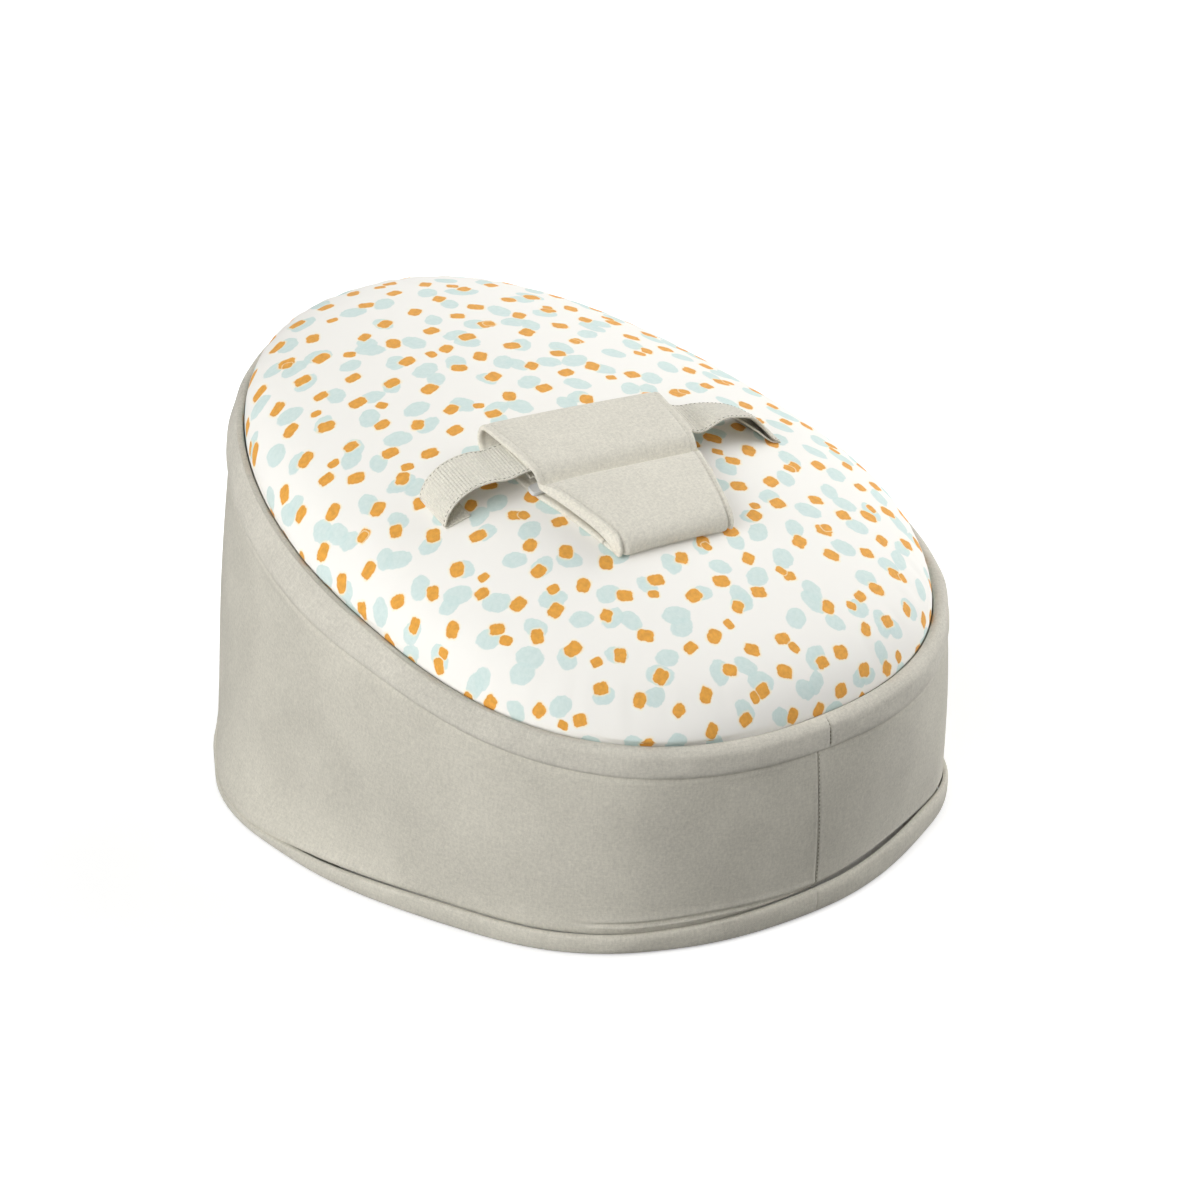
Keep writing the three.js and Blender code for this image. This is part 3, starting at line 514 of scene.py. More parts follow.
def dabs(look, cell, jitter, spin, rough, squareness):
    """Distance to the oval, or rounded square, in each cell, in its own radii."""
    pitch, turn, seed, long, short = cell
    fx, fy, chosen, random = lattice(look, pitch, turn, seed)
    dx = look.less(fx, look.remap(random[0], 0.0, 1.0, -jitter, jitter))
    dy = look.less(fy, look.remap(random[1], 0.0, 1.0, -jitter, jitter))
    angle = look.remap(random[2], 0.0, 1.0, -spin, spin)
    c, s = look.op("COSINE", angle), look.op("SINE", angle)
    rx = look.op("DIVIDE", look.add(look.times(dx, c), look.times(dy, s)), long)
    ry = look.op("DIVIDE", look.less(look.times(dy, c), look.times(dx, s)), short)
    rx, ry = (look.op("POWER", look.op("ABSOLUTE", r), squareness) for r in (rx, ry))
    reach = look.op("POWER", look.add(rx, ry), 1 / squareness)
    reach = look.add(reach, look.remap(look.on_cloth(rough, rough), 0.25, 0.75, -0.13, 0.13))
    reach = look.add(reach, look.remap(chosen, 0.0, 1.0, -0.08, 0.16))
    missing = look.op("GREATER_THAN", chosen, CELLS_FILLED)
    return look.add(reach, look.times(missing, 9.0))


# Dabs of the print: pitch, turn, seed and two radii as shares of the pitch
PALE_DABS = ((0.0345, 0.5, 1, 0.31, 0.235), (0.061, -0.35, 2, 0.19, 0.13))
WARM_DABS = ((0.0305, 0.15, 5, 0.215, 0.17), (0.064, -0.8, 8, 0.075, 0.06))


def printed(name):
    """White cloth with a loose all-over print of pale and warm dabs."""
    look = Look(name, 0.85, 0.25, sheen=0.1)
    wash = look.remap(look.on_cloth(260.0, 260.0, 3.0), 0.35, 0.65, 0.0, 1.0)
    paint = rgb(246, 244, 238)
    for cell in PALE_DABS:
        d = dabs(look, cell, 0.16, 1.4, 130.0, 2.0)
        tone = look.mix(wash, rgb(212, 229, 225), rgb(203, 223, 219))
        paint = look.mix(look.remap(d, 0.93, 1.03, 0.9, 0.0), paint, tone)
    for cell in WARM_DABS:
        d = dabs(look, cell, 0.19, 0.9, 200.0, 3.2)
        paint = look.mix(look.remap(d, 1.02, 1.26, 0.8, 0.0), paint, rgb(250, 236, 200))
        tone = look.mix(wash, rgb(238, 172, 75), rgb(222, 158, 70))
        paint = look.mix(look.remap(d, 0.94, 1.03, 1.0, 0.0), paint, tone)
    grain = look.on_cloth(1600.0, 1600.0, 1.0, 0.5)
    return look.finish(paint, look.add(weave(look, 0.001), look.times(grain, 1.2)), 0.00006, 0.6)


def fuzzy(name, colour, scale, depth):
    """A dense pile, or a mass of small beads."""
    look = Look(name, 0.95, 0.15, sheen=0.4)
    cells = look.node("ShaderNodeTexVoronoi", Vector=look.place, Scale=scale)
    height = look.add(cells.outputs[0], look.noise(scale * 0.7, 3.0, 0.7))
    share = look.remap(height, 0.5, 1.4, 0.0, 1.0)
    return look.finish(look.mix(share, shade(colour, 1.1), shade(colour, 0.75)), height, depth, 0.9)


def sewing(name, colour):
    return cloth(name, colour, pitch=0.0005, depth=0.00008, mottle=0.03, slub=0.03)


canvas = cloth("canvas", rgb(203, 199, 186))
rim_canvas = cloth("rim_canvas", rgb(205, 201, 189))
band_canvas = cloth("band_canvas", rgb(204, 200, 187))
pad_cloth = cloth("pad_cloth", rgb(221, 217, 204), mottle=0.05, slub=0.05)
webbing = cloth("webbing", rgb(225, 221, 208), 0.0022, 0.0003, mottle=0.05, rib=True)
zip_tape = cloth("zip_tape", rgb(190, 186, 174), 0.0009, 0.0001)
print_cloth = printed("print_cloth")
liner = cloth("liner", rgb(236, 235, 230), 0.001, 0.00006, mottle=0.03, slub=0.03)
wadding = fuzzy("wadding", rgb(240, 239, 235), 500.0, 0.0006)
beads = fuzzy("beads", rgb(245, 245, 245), 330.0, 0.0012)
pile = fuzzy("pile", rgb(205, 202, 190), 900.0, 0.0005)
thread = sewing("thread", rgb(208, 204, 191))
dark_thread = sewing("dark_thread", rgb(150, 144, 128))
# Seam thread: real stitching, but its dark colour is painted shade of the seam grooves
seam_thread_painted_shade = sewing("seam_thread_painted_shade", rgb(132, 126, 108))
plastic = plain("plastic", rgb(205, 205, 202), 0.42)
coil_plastic = plain("coil_plastic", rgb(212, 210, 202), 0.4)
zip_metal = plain("zip_metal", rgb(170, 170, 168), 0.32, metallic=1.0)

# Shell

# Steps away from a seam, as angles, closer together near it
ENDS = 0.0031 * np.array(
    [0, 0.4, 0.9, 1.5, 2.2, 3.0, 4.0, 5.2, 6.6, 8.2, 10.2, 12.6, 15.5, 19.0]
)
CLOTH_THICK = 1.3
RIM_NOMINAL = 30
BAND_NOMINAL = 20
SEAM_GAP = 0.02


def angle_at(x):
    """The angle at the foot where the outline passes x."""
    return -PI / 2 + math.copysign(math.asin(abs(x / BASE_HALF) ** (BASE_ROUND / 2)), x)


def around(side):
    """Angles of one half from the foot's seam to the head's, closer together near both."""
    start, end = angle_at(SEAM_X) + (2 * PI if side < 0 else 0), PI / 2
    sign = 1 if end > start else -1
    gap = sign * (ENDS[-1] + 0.012)
    middle = np.linspace(start + gap, end - gap, 150)
    return join([start + sign * ENDS, middle, end - sign * ENDS[::-1]])


def seam_x(p):
    return np.where(p[..., 1] < 0, SEAM_X, 0)


def seam_distance(p):
    """How far points lie from the nearer of the foot and head seams."""
    return np.abs(p[..., 0] - seam_x(p))


def slid(p):
    """Points near the foot's seam, slid along the wall so that the seam falls straight."""
    share = bell(np.maximum(p[..., 2] - 21, 0), 60, 1.5) * bell(p[..., 0] - SEAM_X, 45)
    p[..., 0] += np.where(p[..., 1] < 0, 6.5 * share, 0)
    return p


def held(p, side):
    """A half kept on its side of its seams, with its end rows on them."""
    p[..., 0] = seam_x(p) + side * np.maximum(side * (p[..., 0] - seam_x(p)), SEAM_GAP)
    for row in (0, -1):
        p[row, :, 0] = seam_x(p[row]) + side * SEAM_GAP
    return slid(p)


def waves(t, z):
    """Slow unevenness of the stretched canvas."""
    return (
        0.6 * np.sin(3 * t + 1.0 + z / 70)
        + 0.4 * np.sin(7 * t - z / 45 + 2.0)
        + 0.22 * np.sin(13 * t + z / 30)
    )


def wall_out(t, z, top):
    """How far the wall's face stands out: drawn in at its seams, with a soft fold low at the
    foot."""
    over, under = z - band_top(t), top - z
    groove = bump_at(t, -80, 17)
    low = bell(np.maximum(over, 0), 2.2 + 2.0 * groove, 1.4 + 1.4 * groove)
    tuck = foot_out(t, z) + 0.35 * bell(under - 4.5, 2.2)
    tuck = tuck - (1.6 + 4.6 * groove) * low - 0.7 * bell(np.maximum(under, 0), 2.0, 1.3)
    turn = np.degrees(turned(t, -90))
    from_line = over - 8.6 + 6.0 * smooth((turn + 22) / 20)
    share = smooth((turn + 48) / 14) * (1 - smooth((turn + 6) / 7))
    fold = 0.9 * bell(from_line + 3.0, 1.8) + 0.8 * bell(from_line - 3.6, 2.6)
    fold = share * (fold - 2.3 * bell(from_line, 1.2))
    return tuck + fold + waves(t, z) * smooth(over / 9) * smooth(under / 9)


# Heights of the wall's rows over the band's seam and under the rim's
WALL_LOW = (
    -0.2, 0.2, 0.7, 1.3, 1.9, 2.6, 3.2, 3.6, 4.0, 4.4, 4.8, 5.2, 5.7, 6.3, 7.0, 7.9, 8.8, 9.8, 11.0,
    12.4, 14.3, 16.8, 19.8,
)
WALL_HIGH = (14, 9.5, 6.8, 5, 3.8, 2.8, 2, 1.3, 0.7, 0.2, -0.2)


def side_wall(side, word):
    t = around(side)
    low, top = band_top(t), rim_height(t) - rim_deep(t)
    start, end = low + 20, top - WALL_HIGH[0]
    rows = [low + x for x in WALL_LOW]
    rows += [start + (end - start) * x for x in np.linspace(0, 1, 24)[1:-1]]
    rows += [top - x for x in WALL_HIGH]
    z = np.stack(rows, 1)
    t = np.repeat(t[:, None], z.shape[1], 1)
    out = wall_out(t, z, top[:, None])
    near = seam_distance(wall_point(t, z, out))
    ridge = 0.7 if side < 0 else 0.25
    out = out - 0.9 * bell(near, 0.7, 1) + ridge * bell(near - 2.6, 1.3)
    outer = wall_point(t, z, out)
    inner = wall_point(t, z, out - CLOTH_THICK)
    p = held(join([outer, inner[:, ::-1]], 1), side)
    obj = make(
        "wall_" + word, loft(p, flip=side > 0), canvas, "root", "side_wall_" + word
    )
    run = lengths(outer, 0, False)[-1]


# The band's outer face, from the floor up: how far out, and the share of its height
BAND_SHARES = (
    (-1.0, 0.0), (0.9, 0.02), (2.7, 0.07), (3.7, 0.24), (4.0, 0.47), (3.8, 0.71), (2.9, 0.9),
    (1.4, 0.985), (-1.1, 1.0),
)


def bottom_band(side, word):
    path = resample([(a, b * BAND_NOMINAL) for a, b in BAND_SHARES], 30)
    section = strip(path, CLOTH_THICK)
    t = np.repeat(around(side)[:, None], len(section), 1)
    share = np.clip(section[:, 1] / BAND_NOMINAL, 0, 1)
    z = share * band_top(t)
    rise = smooth(share * 4) * smooth((1 - share) * 4)
    ripple = 0.3 * np.sin(11 * t + 0.6) + 0.25 * np.sin(23 * t + 2.0) * np.sin(z / 4)
    out = section[:, 0] * (0.55 + 0.45 * smooth(band_top(t) / 17)) + ripple * rise
    out = out + spread(t) - tucked(t)
    near = seam_distance(wall_point(t, z, out))
    p = wall_point(t, z, out - 0.9 * bell(near, 0.8, 1) * rise)
    obj = make(
        "hem_" + word, loft(held(p, side), flip=side > 0), band_canvas, "root",
        "bottom_band_" + word,
    )
    run = lengths(p[:, : len(path)], 0, False)[-1]


SLIT_HALF, SLIT_END = 5.7, 190
BASE_GAP, BASE_THICK = 0.15, 1.6


def base_panel(side, word):
    """A flat panel with a straight inner edge that leaves the slit for the zip."""
    right = np.linspace(-PI / 2, PI / 2, 180)
    t = right if side > 0 else PI - right
    edge = wall_point(t, 0, spread(t) - 2.0 - tucked(t))[..., :2]
    inner_y = np.linspace(-286, 294, len(t))
    inner_x = np.where(np.abs(inner_y) < SLIT_END, SLIT_HALF, BASE_GAP) * side
    inner = np.stack([inner_x, inner_y], -1)[:, None]
    flat = edge[:, None] + (inner - edge[:, None]) * np.linspace(0, 1, 30)[:, None]
    flat[..., 0] = side * np.maximum(side * flat[..., 0], BASE_GAP)
    parts = loft(plate(flat, 0.0, BASE_THICK), flip=side < 0)
    obj = make("base_" + word, parts, canvas, "root", "base_panel_" + word)


def ring_angles(count):
    """Angles all round, closer together at the rim band's seam."""
    seam = angle_at(RIM_SEAM_X) + 2 * PI
    t = turns(count)
    t = t[np.abs(t - seam) > ENDS[8] + 0.004]
    return np.sort(join([t, seam - ENDS[:9], seam + ENDS[1:9]]))


def sunk(t, up):
    """Depths on the rim band, drawn out or in to its height at each angle."""
    return np.where(up > -3, up, -3 + (up + 3) * (rim_deep(t) - 3) / (RIM_NOMINAL - 3))


def ring(name, section, t, material, body, node, out=0, up=None, flip=False):
    """A closed ring of one section, given from the top of the rim; out and up move its points."""
    up = section[:, 1] if up is None else up
    p = rim_point(t, section[:, 0] + out, up)
    return make(name, loft(p, closed_u=True, flip=flip), material, body, node), p


def rim_lean(t, section):
    """How the band lies back at the left of the foot, where the cover pulls it in."""
    x, y = section[..., 0], section[..., 1]
    return -8 * bump_at(t, -200, 48) * smooth((y + RIM_NOMINAL) / 30) * smooth((x + 4) / 5)


def rim_wobble(t, section):
    """Slight unevenness of the stuffed band, and the pinch of its seam at the foot."""
    y = section[:, 1]
    rise = smooth((y + RIM_NOMINAL) / 6) * smooth(section[:, 0] / 3 + 1.2)
    place = rim_point(t, section[:, 0], y)
    near = np.abs(place[..., 0] - RIM_SEAM_X) + np.where(place[..., 1] < 0, 0, 1e6)
    puff = 0.35 * np.sin(9 * t + 0.4) + 0.3 * np.sin(19 * t + y / 9) + 0.2 * np.sin(31 * t - y / 6)
    pinch = 1.5 * bell(near, 0.6, 1) - 0.25 * bell(near - 2.6, 1.2)
    return rise * (puff - pinch)


# The rim band's skin, from its inner lower end over the top to its seam on the wall: shares of its
# width, of its bulge and of its height
RIM_SHARES = (
    (-0.62, 0, -1), (-1, 0, -0.93), (-1, 0, -0.55), (-1, 0, -0.16), (-0.95, 0, -0.045),
    (-0.66, 0, 0.01), (-0.2, 0.3, -0.03), (0, 0.82, -0.18), (0, 1, -0.46), (0, 0.9, -0.76),
    (0, 0.42, -0.95), (-0.15, 0, -1.0),
)
CORE_IN, CORE_BACK = 2.7, 0.8


def rim_band():
    knots = [(a * RIM_WIDE + b * RIM_BULGE, c * RIM_NOMINAL) for a, b, c in RIM_SHARES]
    path = resample(knots, 46)
    section = strip(path, -CLOTH_THICK)
    t = ring_angles(420)[:, None]
    obj, p = ring(
        "rim_roll", section, t, rim_canvas, "root", "rim_band",
        rim_wobble(t, section) + rim_lean(t, section), sunk(t, section[:, 1]), True,
    )
    lengths(p, 0, True)[-1] * MM
    section = offset(path, -CORE_IN)[2:-2]
    t = turns(200)[:, None]
    core, _ = ring(
        "rim_core", section, t, wadding, "root", "rim_wadding",
        rim_lean(t, section + [CORE_IN, 0]) - CORE_BACK, sunk(t, section[:, 1]), True,
    )


# Places along a stitch, as shares of its half length, and its size and sink there
STITCH_SHARES = np.array([-1.0, -0.8, -0.35, 0.35, 0.8, 1.0])
STITCH_SIZES = np.array([0.25, 0.75, 1.0, 1.0, 0.75, 0.25])[:, None, None]
STITCH_SINKS = np.array([-0.3, -0.05, 0.0, 0.0, -0.05, -0.3])[:, None, None]


def stitches(name, line, away, body, long, pause, wide, proud, paint):
    """A row of stitches along a line of points; away are the directions off the cloth."""
    run = run_along(line)
    count = int(run[-1] // (long + pause))
    middle = (np.arange(count) + 0.5) * run[-1] / count

    def at(x, values):
        return np.stack([np.interp(x, run, column) for column in values.T], -1)

    place = np.stack([at(middle + x * long / 2, line) for x in STITCH_SHARES], 1)
    up = unit(at(middle, away))
    side = np.cross(unit(place[:, -1] - place[:, 0]), up)
    a = turns(6)[:, None]
    up, side = up[:, None, None], side[:, None, None]
    round_it = side * np.cos(a) * wide + up * np.sin(a) * wide * 0.7
    p = place[:, :, None] + round_it * STITCH_SIZES + up * (proud + STITCH_SINKS)
    uv = pairs(STITCH_SHARES * long / 2, np.linspace(0, 3, 7))
    _, faces, corners = grid(p[0], uv, closed_v=True)
    f = (faces[None] + np.arange(count)[:, None, None] * p[0, ..., 0].size).reshape(-1, 4)
    c = np.tile(corners, (count, 1, 1))
    return make(name, [(p.reshape(-1, 3), f, c)], paint, body)


def foot_seam():
    """Stitches up the wall beside the foot's seam, and over the rim band's own seam."""
    x = SEAM_X + 0.9
    t = np.full(60, angle_at(x))
    top = rim_height(t) - rim_deep(t)
    low = band_top(t) + 2.5
    z = low + (top - 1.5 - low) * np.linspace(0, 1, 60)
    out = wall_out(t, z, top)
    line = wall_point(t, z, out)
    away = wall_point(t, z, out + 1) - line
    line[:, 0] = x
    # The seam thread's dark colour paints the shade along the wall's foot seam
    stitches(
        "seam_stitches", slid(line), away, "root", 2.2, 1.3, 0.38, -0.15, seam_thread_painted_shade
    )
    path = resample(((2.6, -26), (3.0, -15), (2.4, -6), (0.5, -2.0), (-3, 0)), 40)
    t = angle_at(RIM_SEAM_X)
    line = rim_point(t, path[:, 0] + rim_lean(t, path) - 1.1, sunk(t, path[:, 1]))
    line[:, 0] = RIM_SEAM_X
    away = np.cross([1.0, 0, 0], np.gradient(line, axis=0))
    # The seam thread's dark colour paints the shade along the rim band's seam
    stitches(
        "rim_seam_stitches", line, away, "root", 2.2, 0.7, 0.35, 0.0, seam_thread_painted_shade
    )


for side, word in HALVES:
    side_wall(side, word)
    bottom_band(side, word)
    base_panel(side, word)
rim_band()
foot_seam()

# Zip tapes round the rim

TAPE_THICK = 0.8


def rim_tape(name, knots, count, body, node):
    section = strip(resample(knots, count), TAPE_THICK)
    obj, p = ring(name, section, turns(240)[:, None], zip_tape, body, node)
    lengths(p, 0, True)[-1] * MM


rim_tape(
    "rim_tape_fixed", [(-3.1, -31.3), (-9.4, -31.3), (-13.0, -29.4), (-13.0, -26.1)], 12,
    "root", "rim_zip_tape_outer",
)
rim_tape(
    "rim_tape_cover", [(-13.0, -21.2), (-13.0, -10.6), (-10.9, -5.6), (-10.9, -2.8)], 14,
    "cover", "rim_zip_tape_inner",
)

# Printed cover and filling


def polar_uv(p):
    """Cloth coordinates: running length out from the middle, along the direction in plan."""
    run = join([np.zeros((len(p), 1)), np.cumsum(norm(np.diff(p, axis=1)), 1)], 1)
    aim = np.arctan2(p[:, -1, 1] - RIM_WIDEST_Y, p[:, -1, 0])[:, None]
    uv = run[..., None] * np.stack([np.cos(aim), np.sin(aim)], -1)
    return join([uv, uv[:1]], 0)


def cover_dent(p):
    """The cover gives a little under the harness ends and the pad."""
    dent = np.zeros(p.shape[:-1])
    for x, y, deep, wide in ((-100, -66, 1.4, 30), (83, -95, 1.4, 30), (-22, -100, 1.0, 45)):
        dent += deep * bell(np.hypot(p[..., 0] - x, p[..., 1] - y), wide)
    return dent


COVER_THICK = 1.4
LIP_DOWN, LIP_ROLL = 1.6, 0.6


def seat_cover():
    t = turns(320)[:, None]
    curl = 0.1 * np.sin(np.linspace(0, PI / 2, 31)[1:])
    share = join([np.linspace(0, 0.9, 60), 0.9 + curl])
    pucker = 0.35 * np.sin(57 * t) + 0.3 * np.sin(91 * t + 1.3)
    pucker = smooth((share - 0.86) / 0.1) * pucker * (1 - smooth((share - 0.995) / 0.005))
    top, under = seat_point(t, share, 0), seat_point(t, share, COVER_THICK)
    over = top[..., 2] - rim_height(t)
    swell = 4.5 * (bump_at(t, -194, 11) + bump_at(t, -121, 13)) * smooth((over - 0.8) / 3)
    swell = swell * (1 - smooth((over - 5) / 26)) * smooth((share - 0.8) / 0.1)
    for p in (top, under):
        p[..., :2] += swell[..., None] * np.stack([np.cos(t), np.sin(t)], -1)
        p[..., 2] += pucker - cover_dent(p)
    lip = top[:, -1:] - [0, 0, LIP_DOWN]
    roll = lip - [0, 0, LIP_ROLL]
    roll[..., :2] = under[:, -1:, :2]
    top = join([top, lip], 1)
    under = join([under[:, :-1], roll], 1)
    rim = np.stack([top[:, -1], under[:, -1]], 1)
    parts = [
        grid(top, polar_uv(top), closed_u=True),
        grid(under, polar_uv(under), closed_u=True, flip=True),
        grid(rim, pairs(np.linspace(0, 1600, len(t) + 1), CAP_UV), closed_u=True),
    ]
    obj = make("printed_cover", parts, print_cloth, "cover", "seat_cover")


BAG_DEPTH, BAG_IN, BAG_FLOOR = 3.1, 3.5, 2.8
SHOULDER_IN = 7.8


def fill_body(name, inset, material, node):
    """The bead-filled bag: crowned top, rounded shoulder, upright side and a bottom that leaves
    room for the zip."""
    t = turns(240)
    shoulder = 1 - SHOULDER_IN / RIM_HALF
    rows = [seat_point(t, s * shoulder, BAG_DEPTH + inset) for s in np.linspace(0, 1, 44)]
    wall_in, floor = -BAG_IN - inset, BAG_FLOOR + inset
    drawn_low = 5 * bump_at(t, -80, 25) + 4 * smooth((13 - band_top(t)) / 6)
    below = np.stack([rows[-1][:, 0], rows[-1][:, 1], rim_height(t) - 42], -1)
    knots = [rows[-1], below, rim_point(t, wall_in, -51)]
    for z in np.linspace(55, floor, 16):
        drawn = np.minimum(foot_out(t, z), 0) - drawn_low * smooth((46 - z) / 12)
        knots.append(wall_point(t, z, wall_in + drawn))
    for a, b in zip(knots, knots[1:]):
        rows += [a + (b - a) * s for s in np.linspace(0, 1, 7)[1:]]
    last = rows[-1]
    for s in np.linspace(0, 1, 46)[1:]:
        x, y = last[:, 0] * (1 - s), last[:, 1] * (1 - s)
        lift = smooth((24 - np.abs(x)) / 7) * smooth((204 - np.abs(y)) / 8)
        rows.append(np.stack([x, y, floor + 6.8 * lift], -1))
    p = np.stack(rows, 1)
    x, y, z = np.moveaxis(p[:, 2:60], -1, 0)
    lump = 0.5 * np.sin(x / 13 + 1) * np.sin(y / 15) + 0.3 * np.sin(z / 9 + y / 11)
    p[:, 2:60, 2] -= np.abs(lump)
    parts = [grid(p, polar_uv(p), closed_u=True)]
    make(name, parts, material, "root", node)


seat_cover()
fill_body("inner_liner", 0, liner, "inner_bag")
fill_body("bead_fill", 1.3, beads, "bead_filling")

# Harness: u runs across the seat, v towards the head and w off the cover

ORIGIN = np.array([-12, -50, 301.3386])
AXIS_U = np.array([0.98770, -0.15638, -0.00029])
AXIS_V = np.array([0.15371, 0.97049, 0.18582])
AXIS_W = np.array([-0.02878, -0.18358, 0.98258])


def to_world(u, v, w):
    u, v, w = alike(u, v, w)
    return ORIGIN + u[..., None] * AXIS_U + v[..., None] * AXIS_V + w[..., None] * AXIS_W


def drop(u, v):
    """How far the cover lies below the harness plane."""
    u, v = alike(u, v)
    w = np.zeros(u.shape)
    for _ in range(6):
        p = to_world(u, v, w)
        w = w + (cover_height(p[..., 0], p[..., 1]) - cover_dent(p) - p[..., 2]) * AXIS_W[2]
    return -w


FLAP_FOLD, FLAP_CREASE, FLAP_END = 25, -39, -110
FOLD_END = 13
PAD_THICK = 4
PAD_LOW, FLAP_LOW, FLAP_TOP = 4.3, 17.8, 21.8
BUCKLE_LOW, BUCKLE_MID = 4.6, 10.6
BELT, BELT_HALF = -5, 20


def along_flap(v, at_fold, at_crease, at_end):
    over = np.clip((v - FLAP_CREASE) / (FLAP_FOLD - FLAP_CREASE), 0, 1)
    below = np.clip((FLAP_CREASE - v) / (FLAP_CREASE - FLAP_END), 0, 1)
    return at_crease + (at_fold - at_crease) * over + (at_end - at_crease) * below


def flap_half(v):
    return along_flap(v, 74, 68, 51)


def flap_shift(v):
    return along_flap(v, -12, -8, -3)


def flap_skew(v):
    """How far the pad's right side lies nearer the foot than its left, as it is sewn on askew."""
    return along_flap(v, 6, 2.6, 0)


def settled(u, v, w):
    """Heights lowered onto the cover: wholly at the bottom, mostly along v alone at the top."""
    height = np.clip((w - BUCKLE_LOW) / (FLAP_TOP - BUCKLE_LOW), 0, 1)
    middle = drop(flap_shift(v), v)
    return w - middle - (drop(u, v) - middle) * (1 - 0.9 * height)


def pad_points(section, s):
    """The closed section swept over the pad's width, pressed flat along its stitched hems."""
    v, w = section.T[:, None]
    half = flap_half(v)
    s = np.asarray(s, float)[:, None]
    u = flap_shift(v) + s * half
    edge = (1 - np.abs(s)) * half
    size = 1.04 - 0.5 * bell(edge, 0.8, 1) - 0.26 * bell(edge - 5.0, 2.0)
    mid_v, mid_w = (v + v[:, ::-1]) / 2, (w + w[:, ::-1]) / 2
    v_in = mid_v + (v - mid_v) * size - flap_skew(v) * s
    return to_world(u, v_in, settled(u, v_in, mid_w + (w - mid_w) * size))


HEM = np.array([0, 0.3, 0.7, 1.2, 1.9, 2.7, 3.5, 4.3, 5.0, 5.7, 6.6, 7.8, 9.6, 12.0]) / 68
STATIONS = join([HEM - 1, np.linspace(-0.8, 0.8, 25), 1 - HEM[::-1]])
ROW_PLACE = 1 - 5.0 / 66
FOLD_R = (FLAP_LOW - PAD_LOW) / 2
FOLD_MID = PAD_LOW + FOLD_R
FOLD_SPLIT = 0.35


def fold_arc(start, end, count):
    a = np.linspace(start, end, count)
    return np.stack([FLAP_FOLD + FOLD_R * np.cos(a), FOLD_MID + FOLD_R * np.sin(a)], 1)


def flat_run(start, end, w, count):
    return np.stack([np.linspace(start, end, count), np.full(count, w)], 1)


def padded_strip(first, second):
    return strip(join([first, second[1:]]), -PAD_THICK)


under_section = padded_strip(
    flat_run(-100, FLAP_FOLD, PAD_LOW, 44), fold_arc(-PI / 2, FOLD_SPLIT, 18)
)
fold_section = padded_strip(
    fold_arc(FOLD_SPLIT, PI / 2, 12), flat_run(FLAP_FOLD, FOLD_END, FLAP_LOW, 8)
)
# The flap over the buckle, down to the crease, over the closure and round the rolled end
FLAP_UNDERSIDE = (
    (FOLD_END, FLAP_LOW), (5, 17.8), (-4, 17.7), (-14, 17.7), (-24, 18.0), (-28.5, 18.2),
    (-31.5, 17.0), (-34, 13.4), (-37, 8.9), (-41, 8.2), (-50, 8.2), (-65, 8.2), (-80, 8.2),
    (-95, 8.2), (-103, 8.0), (-107.5, 7.4), (-109.2, 6.3), (-107.5, 5.2), (-104, 4.7), (-101, 4.5),
)
FLAP_FACE = (
    (FOLD_END, FLAP_TOP), (5, 22.2), (-4, 22.3), (-14, 22.0), (-23, 21.4), (-29, 20.4),
    (-33.5, 18.0), (-36.8, 14.6), (-39.0, 11.8), (-41.0, 12.7), (-44.5, 14.9), (-51, 16.4),
    (-64, 17.0), (-78, 17.2), (-96, 17.4), (-106, 17.0), (-113, 15.3), (-117.2, 12.0),
    (-118.8, 7.8), (-118.4, 4.0), (-115.5, 1.3), (-109, 0.5), (-101, 0.45),
)
flap_section = join([resample(FLAP_UNDERSIDE, 130), resample(FLAP_FACE, 130)[::-1]])


def pad_piece(name, section, body, node=None):
    parts = loft(pad_points(section, STATIONS), flip=True)
    obj = make(name, parts, pad_cloth, body, node)
    return obj


def fold_blend(obj):
    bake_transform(obj)


def off_seat(lines, part=slice(None)):
    """Directions off the cloth on which two lines lie side by side."""
    out = np.cross(lines[1] - lines[0], np.gradient(lines[0], axis=0))[part]
    return out * (-1 if (out @ AXIS_W).mean() < 0 else 1)


def hem_row(name, section, side, body, last=None):
    """Stitches along the pad's upper face, a little in from one side."""
    s = side * ROW_PLACE
    lines = pad_points(section, [s, s - 0.01])[:, ::-1][:, : len(section) // 2][:, :last]
    return stitches(
        name, lines[0], off_seat(lines), body, 2.6, 1.0, 0.34, -0.02, thread
    )


def closure(name, low, body, node):
    """A strip of hook or loop tape across the pad."""
    v, w = strip(flat_run(-55, -77, low, 10), -1.5).T[:, None]
    u = flap_shift(v) + np.linspace(-48, 48, 24)[:, None]
    parts = loft(to_world(u, v, settled(u, v, w)))
    obj = make(name, parts, pile, body, node)


TAB_U, TAB_V = -74.5, -31.5
TAB_RINGS = ((0.02, 4.7), (0.9, 4.7), (1.0, 5.2), (1.0, 7.2), (0.93, 7.8), (0.02, 7.8))


def mouth_tab():
    """The small plastic piece that shows at the flap's left mouth."""
    a = turns(32)
    u, v = 6.5 * power(np.cos(a), 0.5), 5.2 * power(np.sin(a), 0.5)
    rings = []
    for size, w in TAB_RINGS:
        uu, vv = TAB_U + u * size, TAB_V + v * size
        rings.append(to_world(uu, vv, settled(uu, vv, w)))
    parts = [grid(np.stack(rings, 1), pairs(np.arange(33.0), np.arange(6.0)), closed_u=True)]
    make("mouth_tab", parts, plastic, "cover")


pad_piece("pad_under", under_section, "cover", "crotch_strap")
fold_blend(pad_piece("pad_fold", fold_section, None))
pad_piece("pad_flap", flap_section, "flap", "crotch_flap")
for side, word in HALVES:
    hem_row("flap_row_" + word, flap_section, side, "flap", last=118)
    fold_blend(hem_row("fold_row_" + word, fold_section, side, None))
closure("loop_tape", 4.6, "cover", "loop_strip")
closure("hook_tape", 6.4, "flap", "hook_strip")
mouth_tab()

# Webbing

